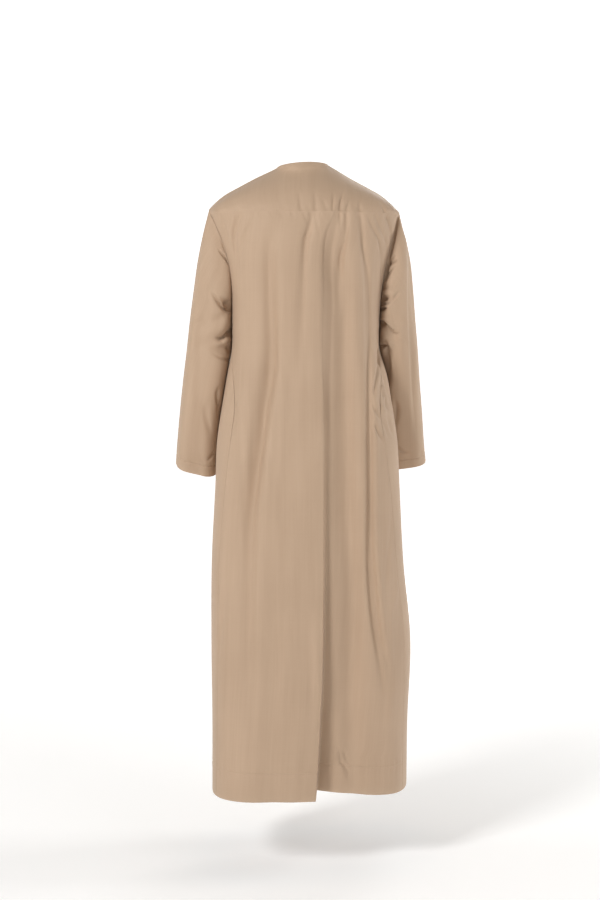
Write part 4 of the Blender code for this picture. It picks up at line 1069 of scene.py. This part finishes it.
# %% Placket
PLACKET_HALF_COLUMNS = 5
PLACKET_LOW_Z = -0.366
PLACKET_CLOTH = 0.0012
LAYER_GAP = 0.0003
middle = FRONT_CELLS // 2
placket_columns = slice(middle - PLACKET_HALF_COLUMNS, middle + PLACKET_HALF_COLUMNS + 1)
placket_first = row_at(PLACKET_LOW_Z)
front_out = grid_normals(front_grid)[placket_first:, placket_columns]
placket_grid = front_grid[placket_first:, placket_columns] + front_out * (LAYER_GAP + PLACKET_CLOTH)
placket_all = ("bottom", "top", "first", "last")
placket = cloth_piece("cloth_placket", rolled(placket_grid, *placket_all), placket_all, PLACKET_CLOTH)

# %% [markdown]
# ## Buttons
# A shirt button is turned from a disc: a raised rim, a dished middle and four holes. Spinning half of its outline
# round the axis makes the disc, and four thin cylinders cut out the holes. Two short crossings of thread hold it.

# %% Buttons
BUTTON_THICK = 0.0024
BUTTON_FIRST_Z, BUTTON_PITCH, BUTTONS = -0.100, 0.074, 4
BUTTON_LIFT = 0.0002
BUTTON_OUTLINE = (  # half of a button's section: distances from its axis, and heights
    (0.0, -0.0012), (0.0047, -0.0012), (0.0054, -0.0009), (0.0057, -0.0002), (0.0056, 0.0007), (0.0051, 0.0012),
    (0.0044, 0.0011), (0.0037, 0.0005), (0.0030, 0.0003), (0.0, 0.0003),
)
BUTTON_STEPS = 40
HOLE_RADIUS, HOLE_PLACE, HOLE_SIDES = 0.00062, 0.00115, 12
DRILL_LONG = 0.01
HOLE_EDGE, HOLE_EDGE_DEGREES = 0.00008, 50  # how wide edges are softened, and from how sharp a turn on


def button_disc():
    """The button's outline spun round its axis, facing +Z."""
    body = bmesh.new()
    line = [body.verts.new((x, 0.0, z)) for x, z in BUTTON_OUTLINE]
    sides = [body.edges.new(pair) for pair in zip(line, line[1:])]
    turned = dict(cent=(0, 0, 0), axis=(0, 0, 1), angle=2 * math.pi, steps=BUTTON_STEPS, use_merge=True)
    bmesh.ops.spin(body, geom=line + sides, **turned)
    bmesh.ops.remove_doubles(body, verts=body.verts, dist=WELD)
    bmesh.ops.recalc_face_normals(body, faces=body.faces)
    return body


def drilled_button(name):
    """The disc with its four holes cut, as one mesh."""
    disc = mesh_piece(name + "_disc", button_disc())
    holes = bmesh.new()
    for x in (-HOLE_PLACE, HOLE_PLACE):
        for y in (-HOLE_PLACE, HOLE_PLACE):
            place = Matrix.Translation((x, y, 0.0))
            sizes = dict(segments=HOLE_SIDES, radius1=HOLE_RADIUS, radius2=HOLE_RADIUS, depth=DRILL_LONG)
            bmesh.ops.create_cone(holes, matrix=place, cap_ends=True, **sizes)
    drill = mesh_piece(name + "_drill", holes)
    cut = disc.modifiers.new("holes", "BOOLEAN")
    cut.operation, cut.object, cut.solver = "DIFFERENCE", drill, "EXACT"
    bpy.context.view_layer.update()
    seen = disc.evaluated_get(bpy.context.evaluated_depsgraph_get())
    mesh = bpy.data.meshes.new_from_object(seen)
    for tool in (disc, drill):
        bpy.data.objects.remove(tool)
    return mesh


line, line_out = placket_grid[:, PLACKET_HALF_COLUMNS], front_out[:, PLACKET_HALF_COLUMNS]
plain_button = drilled_button("button")
button_places, resin_buttons = [], []
for number in range(BUTTONS):
    z = BUTTON_FIRST_Z - number * BUTTON_PITCH
    place = np.array([np.interp(z, line[:, 2], line[:, k]) for k in range(3)])
    out = np.array([np.interp(z, line[:, 2], line_out[:, k]) for k in range(3)])
    place = place + out * (LAYER_GAP + BUTTON_LIFT + BUTTON_THICK / 2)
    turn = Vector(out).to_track_quat("Z", "X").to_matrix().to_4x4()
    button_places.append(Matrix.Translation(place) @ turn)
    mesh = plain_button.copy()
    mesh.transform(button_places[-1])
    shown = placed(f"resin_button_{number + 1}", mesh)
    soften = shown.modifiers.new("hole_edges", "BEVEL")
    soften.width, soften.segments = HOLE_EDGE, 2
    soften.limit_method, soften.angle_limit = "ANGLE", math.radians(HOLE_EDGE_DEGREES)
    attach(shown, "root")
    resin_buttons.append(shown)
print("button faces:", len(plain_button.polygons))

# %% [markdown]
# ## Stitches
# A stitch is a short raised bead of thread, a little over two millimetres long. A bead has few faces, because there
# are over a thousand of them. Each line of stitches follows a row or column of its panel's grid, and a table says
# which.

# %% Rows of stitches
STITCH_PITCH = 0.0032
STITCH_HALF = (0.00115, 0.00022, 0.00016)  # half a stitch's length, width and height


def beads(body, points, outs):
    """Adds a bead of thread at each stitch of a line on the cloth, and counts them."""
    arcs = arc_lengths(points)
    made = 0
    for at in np.arange(STITCH_PITCH / 2, arcs[-1], STITCH_PITCH):
        here, ahead = points_at(arcs, points, [at, min(at + STITCH_HALF[0], arcs[-1])])
        out = Vector(points_at(arcs, outs, [at])[0]).normalized()
        along = Vector(ahead - here).normalized()
        side = out.cross(along).normalized()
        turn = Matrix((along, side, side.cross(along) * -1)).transposed().to_4x4()
        size = Matrix.Diagonal((*STITCH_HALF, 1.0))
        place = Matrix.Translation(Vector(here)) @ turn @ size
        bmesh.ops.create_icosphere(body, subdivisions=1, radius=1.0, matrix=place)
        made += 1
    return made


def stitch_rows(name, lines):
    """One piece with all the stitches of several lines."""
    body = bmesh.new()
    made = sum(beads(body, points, outs) for points, outs in lines)
    bmesh.ops.recalc_face_normals(body, faces=body.faces)
    piece = mesh_piece(name, body)
    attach(piece, "root")
    print(name, made, "stitches")
    return piece


def line_on(grid, rows=slice(None), columns=slice(None)):
    """The points and outward directions of one row or column of a grid, or of a part of it."""
    return grid[rows, columns], grid_normals(grid)[rows, columns]


YOKE_STITCH_ROW = 1
NECK_ROW = -2
POCKET_FIRST, POCKET_LAST = 2, -3  # the third column from each edge
neck_columns, front_neck_columns = (
    np.flatnonzero(np.abs(grid[-1, :, 0]) < NECK_HALF) for grid in (yoke_grid, front_grid)
)
pocket_rows = np.flatnonzero((heights < POCKET_TOP_Z) & (heights > POCKET_END_Z))
stitch_lines = {
    "hem": [line_on(grid, HEM_STITCH_ROW) for grid in (back_grid, front_grid)],
    "yoke": [line_on(yoke_grid, YOKE_STITCH_ROW)],
    "neck": [line_on(yoke_grid, NECK_ROW, neck_columns), line_on(front_grid, NECK_ROW, front_neck_columns)],
    "pocket_left": [line_on(back_grid, pocket_rows, POCKET_FIRST), line_on(front_grid, pocket_rows, POCKET_LAST)],
    "pocket_right": [line_on(back_grid, pocket_rows, POCKET_LAST), line_on(front_grid, pocket_rows, POCKET_FIRST)],
    "cuff_left": [line_on(sleeves["left"], CUFF_STITCH_ROW)],
    "cuff_right": [line_on(sleeves["right"], CUFF_STITCH_ROW)],
    "placket": [line_on(placket_grid, columns=1), line_on(placket_grid, columns=-2), line_on(placket_grid, 1)],
}
stitches = {name: stitch_rows(f"stitches_{name}", lines) for name, lines in stitch_lines.items()}

# %% [markdown]
# ## Thread in the buttons
# The thread crosses the dished middle of a button twice, from hole to hole. At this size each crossing can be one
# long bead that ends over its two holes.

# %% Thread in the buttons
THREAD_HALF = (HOLE_PLACE * 1.35, 0.00042, 0.00042)  # half a crossing's length, width and height
THREAD_LIFT = 0.0003
threads = bmesh.new()
for place in button_places:
    for y in (-HOLE_PLACE, HOLE_PLACE):
        size = Matrix.Diagonal((*THREAD_HALF, 1.0))
        lie = place @ Matrix.Translation((0.0, y, THREAD_LIFT)) @ size
        bmesh.ops.create_icosphere(threads, subdivisions=2, radius=1.0, matrix=lie)
button_threads = mesh_piece("button_threads", threads)
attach(button_threads, "root")
print("crossings of thread:", 2 * len(button_places))

# %% [markdown]
# ## Finishes as sums
# A finish is a few patterns added together. Blender's Math nodes add and multiply, but a tree of them is hard to read.
# The small class below stands for a socket, so that a sum written in plain Python adds the nodes.

# %% A socket that can be added and multiplied
class Wire:
    """An output socket of a finish, on which plain sums add Math nodes."""

    def __init__(self, finish, socket):
        self.finish, self.socket = finish, socket

    def sum_of(self, operation, first, second):
        return self.finish.node("ShaderNodeMath", {"operation": operation}, {0: first, 1: second})

    def __add__(self, other):
        return self.sum_of("ADD", self, other)

    def __sub__(self, other):
        return self.sum_of("SUBTRACT", self, other)

    def __rsub__(self, other):
        return self.sum_of("SUBTRACT", other, self)

    def __mul__(self, other):
        return self.sum_of("MULTIPLY", self, other)

    __radd__, __rmul__ = __add__, __mul__


class Finish:
    """A material in the making."""

    def __init__(self, name, **constants):
        self.material = bpy.data.materials.new(name)
        self.material.use_nodes = True
        self.tree = self.material.node_tree
        self.shader = self.tree.nodes["Principled BSDF"]
        self.feed(self.shader, constants)

    def feed(self, node, inputs):
        """Links a node's sockets to wires, or sets them to plain values."""
        for key, value in inputs.items():
            socket = node.inputs[key]
            if isinstance(value, Wire):
                self.tree.links.new(value.socket, socket)
            else:
                socket.default_value = value

    def node(self, kind, settings=None, inputs=None, output=0):
        """A node of the given kind: its settings are set first, then its sockets' values or links."""
        made = self.tree.nodes.new(kind)
        for key, value in (settings or {}).items():
            setattr(made, key, value)
        self.feed(made, inputs or {})
        return Wire(self, made.outputs[output])

    def mix(self, share, first, second):
        """A colour between two colours."""
        return self.node("ShaderNodeMix", {"data_type": "RGBA"}, {0: share, 6: first, 7: second}, output=2)

    def noise(self, place, scale, detail=2.0):
        """Cloudy values round a half, scale of them to each unit of the place."""
        return self.node("ShaderNodeTexNoise", None, {"Vector": place, "Scale": scale, "Detail": detail})

    def bump(self, height, strength, distance):
        """Normals that lean as if the height were really there."""
        inputs = {"Height": height, "Strength": strength, "Distance": distance}
        return self.node("ShaderNodeBump", None, inputs, output="Normal")

    def along(self, place, axis):
        """One coordinate of a place."""
        parts = self.tree.nodes.new("ShaderNodeSeparateXYZ")
        self.feed(parts, {0: place})
        return Wire(self, parts.outputs[axis])

    def put_on(self, *pieces):
        """Makes this the pieces' only finish."""
        for piece in pieces:
            piece.data.materials.clear()
            piece.data.materials.append(self.material)


# %% [markdown]
# ## Sand-coloured cloth
# The cloth is a light plain weave of polyester and viscose with a soft sheen. Its threads are under half a millimetre
# apart, so from a few metres away only faint upright streaks show, where some warp threads are thicker. All its
# patterns read the cloth's own UV map, which is in metres, so that they turn and fold with the panels.

# %% Cloth finish
WARM_SHEEN = (1.0, 0.90, 0.78, 1.0)
SAND_LIGHT = (0.515, 0.369, 0.258, 1.0)
SAND_DEEP = (0.432, 0.303, 0.206, 1.0)
SAND_WORN = (0.555, 0.415, 0.305, 1.0)
THREAD_PITCH = 0.00045
WEAVE_TURNS = 2 * math.pi / THREAD_PITCH


def cloth_finish():
    """The sand cloth: streaks, clouds and wear for its colour, and its weave for its relief."""
    sheen = {"Sheen Weight": 0.20, "Sheen Roughness": 0.45, "Sheen Tint": WARM_SHEEN}
    cloth = Finish("sand_plain_weave", **sheen, **{"Specular IOR Level": 0.32})
    flat = cloth.node("ShaderNodeTexCoord", output="UV")
    across, up = cloth.along(flat, "X"), cloth.along(flat, "Y")

    def patches(per_metre, detail, scale=1.0):
        """Noise whose patches are narrow across or up the cloth, where per_metre is high."""
        spread = cloth.node("ShaderNodeMapping", None, {"Vector": flat, "Scale": (*per_metre, 1.0)})
        return cloth.noise(spread, scale, detail)

    streaks = patches((300.0, 7.0), detail=4.0)
    wide_streaks = patches((45.0, 2.5), detail=3.0)
    weft = patches((9.0, 900.0), detail=2.0)
    clouds = patches((1.0, 1.0), detail=2.0, scale=5.0)
    tone = streaks * 0.18 + wide_streaks * 0.32 + weft * 0.10 + clouds * 0.40  # the shares make 1 together
    wear = cloth.node("ShaderNodeAttribute", {"attribute_name": "edge_wear"}, output="Fac")
    colour = cloth.mix((tone - 0.3) * 2.5, SAND_DEEP, SAND_LIGHT)  # noise mostly lies between 0.3 and 0.7
    colour = cloth.mix(wear * 0.35, colour, SAND_WORN)

    def threads_along(place):
        return cloth.node("ShaderNodeMath", {"operation": "SINE"}, {0: place * WEAVE_TURNS})

    weave = threads_along(across) * threads_along(up) * 0.5 + 0.5
    relief = weave * 0.6 + streaks * 0.12
    rough = 0.66 - (streaks - 0.5) * 0.12 + wear * 0.08
    relief = cloth.bump(relief, strength=0.25, distance=0.0002)
    cloth.feed(cloth.shader, {"Base Color": colour, "Roughness": rough, "Normal": relief})
    return cloth


cloth_pieces = [back, yoke, front, *cloth_sleeves.values(), *facings.values(), placket]
cloth_finish().put_on(*cloth_pieces)
print("cloth pieces:", len(cloth_pieces))

# %% [markdown]
# ## Thread
# Sewing thread is the cloth's colour, but shinier, and twisted from strands, which shows as fine slanting bands. A
# wave texture gives them, in the colour and in the relief.

# %% Thread finish
THREAD_DEEP, THREAD_LIGHT = (0.47, 0.335, 0.225, 1.0), (0.575, 0.43, 0.31, 1.0)


def thread_finish():
    """Thread with its twist as light and dark slanting bands."""
    thread = Finish("sand_thread", **{"Sheen Weight": 0.15, "Specular IOR Level": 0.4})
    place = thread.node("ShaderNodeTexCoord", output="Object")
    settings = {"wave_type": "BANDS", "bands_direction": "DIAGONAL"}
    twist = thread.node("ShaderNodeTexWave", settings, {"Vector": place, "Scale": 2200.0}, output="Fac")
    patches = thread.noise(place, 40.0)
    colour = thread.mix(twist * 0.5 + patches * 0.4, THREAD_DEEP, THREAD_LIGHT)
    relief = thread.bump(twist, strength=0.4, distance=0.0001)
    thread.feed(thread.shader, {"Base Color": colour, "Roughness": 0.62 - twist * 0.15, "Normal": relief})
    return thread


thread_finish().put_on(*stitches.values(), button_threads)
print("pieces of thread:", len(stitches) + 1)

# %% [markdown]
# ## Cast resin
# Resin is poured with its colour stirred in, so faint clouds stay in it. The buttons are a tone darker than the cloth
# and polished, which a thin clear coat over a slightly grainy body gives.

# %% Button finish
RESIN_DEEP, RESIN_LIGHT = (0.36, 0.25, 0.165, 1.0), (0.50, 0.37, 0.26, 1.0)


def resin_finish():
    """Clouded resin under a thin clear coat."""
    resin = Finish("button_resin_sand", **{"Coat Roughness": 0.12, "Specular IOR Level": 0.5})
    place = resin.node("ShaderNodeTexCoord", output="Object")
    clouds, grain = resin.noise(place, 320.0, 3.0), resin.noise(place, 2600.0)
    colour = resin.mix((clouds - 0.25) * 1.8, RESIN_DEEP, RESIN_LIGHT)
    relief = resin.bump(grain, strength=0.12, distance=0.00005)
    rough, coat = 0.30 + grain * 0.15, 0.25 + clouds * 0.2
    resin.feed(resin.shader, {"Base Color": colour, "Roughness": rough, "Normal": relief, "Coat Weight": coat})
    return resin


resin_finish().put_on(*resin_buttons)
print("finishes:", [material.name for material in bpy.data.materials if material.users])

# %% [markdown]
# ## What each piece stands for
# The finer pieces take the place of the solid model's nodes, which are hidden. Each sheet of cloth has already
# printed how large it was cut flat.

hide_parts("back")
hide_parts("back_yoke")
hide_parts("front")
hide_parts("placket")
for name, piece in facings.items():
    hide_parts(f"pocket_facing_{name}")
for name, piece in cloth_sleeves.items():
    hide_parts(f"sleeve_{name}_upper", f"sleeve_{name}_elbow", f"sleeve_{name}_lower")
for number, piece in enumerate(resin_buttons):
    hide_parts(f"button_{number + 1}")

print("sheets of cloth:", len(cloth_pieces))

# %% [markdown]
# ## Studio
# The photograph's ground is plain white, as in a studio where a long sheet of paper curves up far behind, so that no
# corner shows. A line along the floor and up the curve, extruded sideways, makes it in one go.

# %% Floor and backdrop
FLOOR_Z = -1.55
FLOOR_FRONT, FLOOR_BACK, FLOOR_HALF = -9.0, 7.0, 9.0
SWEEP_RADIUS, SWEEP_TOP, SWEEP_STEPS = 2.5, 6.0, 16


def studio_floor():
    """A line along the floor and up the sweep, extruded across the studio."""
    body = bmesh.new()
    turn = np.linspace(0.0, math.pi / 2, SWEEP_STEPS + 1)
    sweep = [(FLOOR_BACK + SWEEP_RADIUS * math.sin(a), FLOOR_Z + SWEEP_RADIUS * (1 - math.cos(a))) for a in turn]
    line = [(FLOOR_FRONT, FLOOR_Z), *sweep, (FLOOR_BACK + SWEEP_RADIUS, SWEEP_TOP)]
    points = [body.verts.new((-FLOOR_HALF, y, z)) for y, z in line]
    edges = [body.edges.new(pair) for pair in zip(points, points[1:])]
    wide = bmesh.ops.extrude_edge_only(body, edges=edges)
    moved = [part for part in wide["geom"] if isinstance(part, bmesh.types.BMVert)]
    bmesh.ops.translate(body, verts=moved, vec=(2 * FLOOR_HALF, 0.0, 0.0))
    bmesh.ops.recalc_face_normals(body, faces=body.faces)
    return mesh_piece("studio_floor", body)


floor = studio_floor()
print("floor faces:", len(floor.data.polygons))

# %% [markdown]
# ## White paper
# The lights that suit the cloth would leave the paper's far end grey, where a studio has more lamps. So the paper
# glows a little itself, and more with its distance behind the robe. It is white from the camera's side only.

# %% White paper that glows with distance
PAPER_DEEP, PAPER_LIGHT = (0.93, 0.93, 0.93, 1.0), (0.95, 0.95, 0.95, 1.0)
GLOW_NEAR, GLOW_FAR = (0.12, 0.12, 0.12, 1.0), (0.62, 0.62, 0.62, 1.0)
GLOW_PER_METRE = 0.22  # how quickly the glow passes from near to far, behind the robe

paper = Finish("white_paper", Roughness=0.9)
paper_place = paper.node("ShaderNodeTexCoord", output="Object")
white = paper.mix(paper.noise(paper_place, 3.0), PAPER_DEEP, PAPER_LIGHT)
held_in = {"operation": "MULTIPLY", "use_clamp": True}
far = paper.node("ShaderNodeMath", held_in, {0: paper.along(paper_place, "Y"), 1: GLOW_PER_METRE})
glow = paper.mix(far, GLOW_NEAR, GLOW_FAR)
paper.feed(paper.shader, {"Base Color": white, "Emission Color": glow, "Emission Strength": 1.0})
paper.put_on(floor)

# %% [markdown]
# ## Lights
# Two soft lights stand on the camera's side: a strong one high on the left, which shapes the folds, and a broad weak
# one on the right, which fills their shadows. One at each side lights the sleeves' edges, and one beyond the robe
# lights its front for other views. Their powers were set by comparing the render's shades with the photograph's.

# %% Lights
WORLD_COLOUR, WORLD_STRENGTH = (1.0, 0.95, 0.88, 1.0), 0.26
Light = namedtuple("Light", "place target size power")
LIGHTS = {
    "key_light": Light((-2.5, -3.2, 1.5), (0.0, 0.0, -0.5), 1.1, 124.0),
    "fill_light": Light((2.6, -3.2, 0.6), (0.0, 0.0, -0.5), 2.0, 30.0),
    "edge_light_right": Light((3.6, 0.7, 0.3), (0.0, 0.0, -0.6), 1.4, 52.0),
    "edge_light_left": Light((-3.6, 0.9, 0.3), (0.0, 0.0, -0.6), 1.4, 14.0),
    "front_light": Light((1.6, 4.0, 1.4), (0.0, 0.0, -0.6), 2.0, 40.0),
}
scene = bpy.context.scene
scene.view_settings.view_transform = "Standard"
world = bpy.data.worlds.new("studio")
scene.world = world
world.use_nodes = True
air = world.node_tree.nodes["Background"].inputs
air["Color"].default_value, air["Strength"].default_value = WORLD_COLOUR, WORLD_STRENGTH
for name, light in LIGHTS.items():
    lamp = bpy.data.lights.new(name, "AREA")
    lamp.shape = "SQUARE"
    lamp.size, lamp.energy = light.size, light.power
    holder = placed(name, lamp)
    holder.location = light.place
    holder.rotation_euler = (Vector(light.target) - Vector(light.place)).to_track_quat("-Z", "Y").to_euler()
print("lights:", ", ".join(LIGHTS))

# %% [markdown]
# ## Camera
# The camera is level, at the height of the elbows, and nearly four metres away. Its lens is long, so the robe's lower
# edge is seen only a little from above. The lens and the shift are worked out from lengths in the picture's pixels.

# %% Camera
FILM = 36.0  # millimetres
PICTURE_HEIGHT, FOCAL_LENGTH, HORIZON = 900.0, 1676.0, 85.0  # pixels; the horizon is this far above the middle
view = bpy.data.cameras.new("studio_camera")
view.sensor_fit, view.sensor_height, view.lens = "VERTICAL", FILM, FILM * FOCAL_LENGTH / PICTURE_HEIGHT
view.shift_y = -HORIZON / PICTURE_HEIGHT
camera = placed("studio_camera", view)
camera.location = CAMERA_PLACE
camera.rotation_euler = (math.pi / 2, 0.0, 0.0)
scene.camera = camera
print("lens", round(view.lens, 1), "mm")
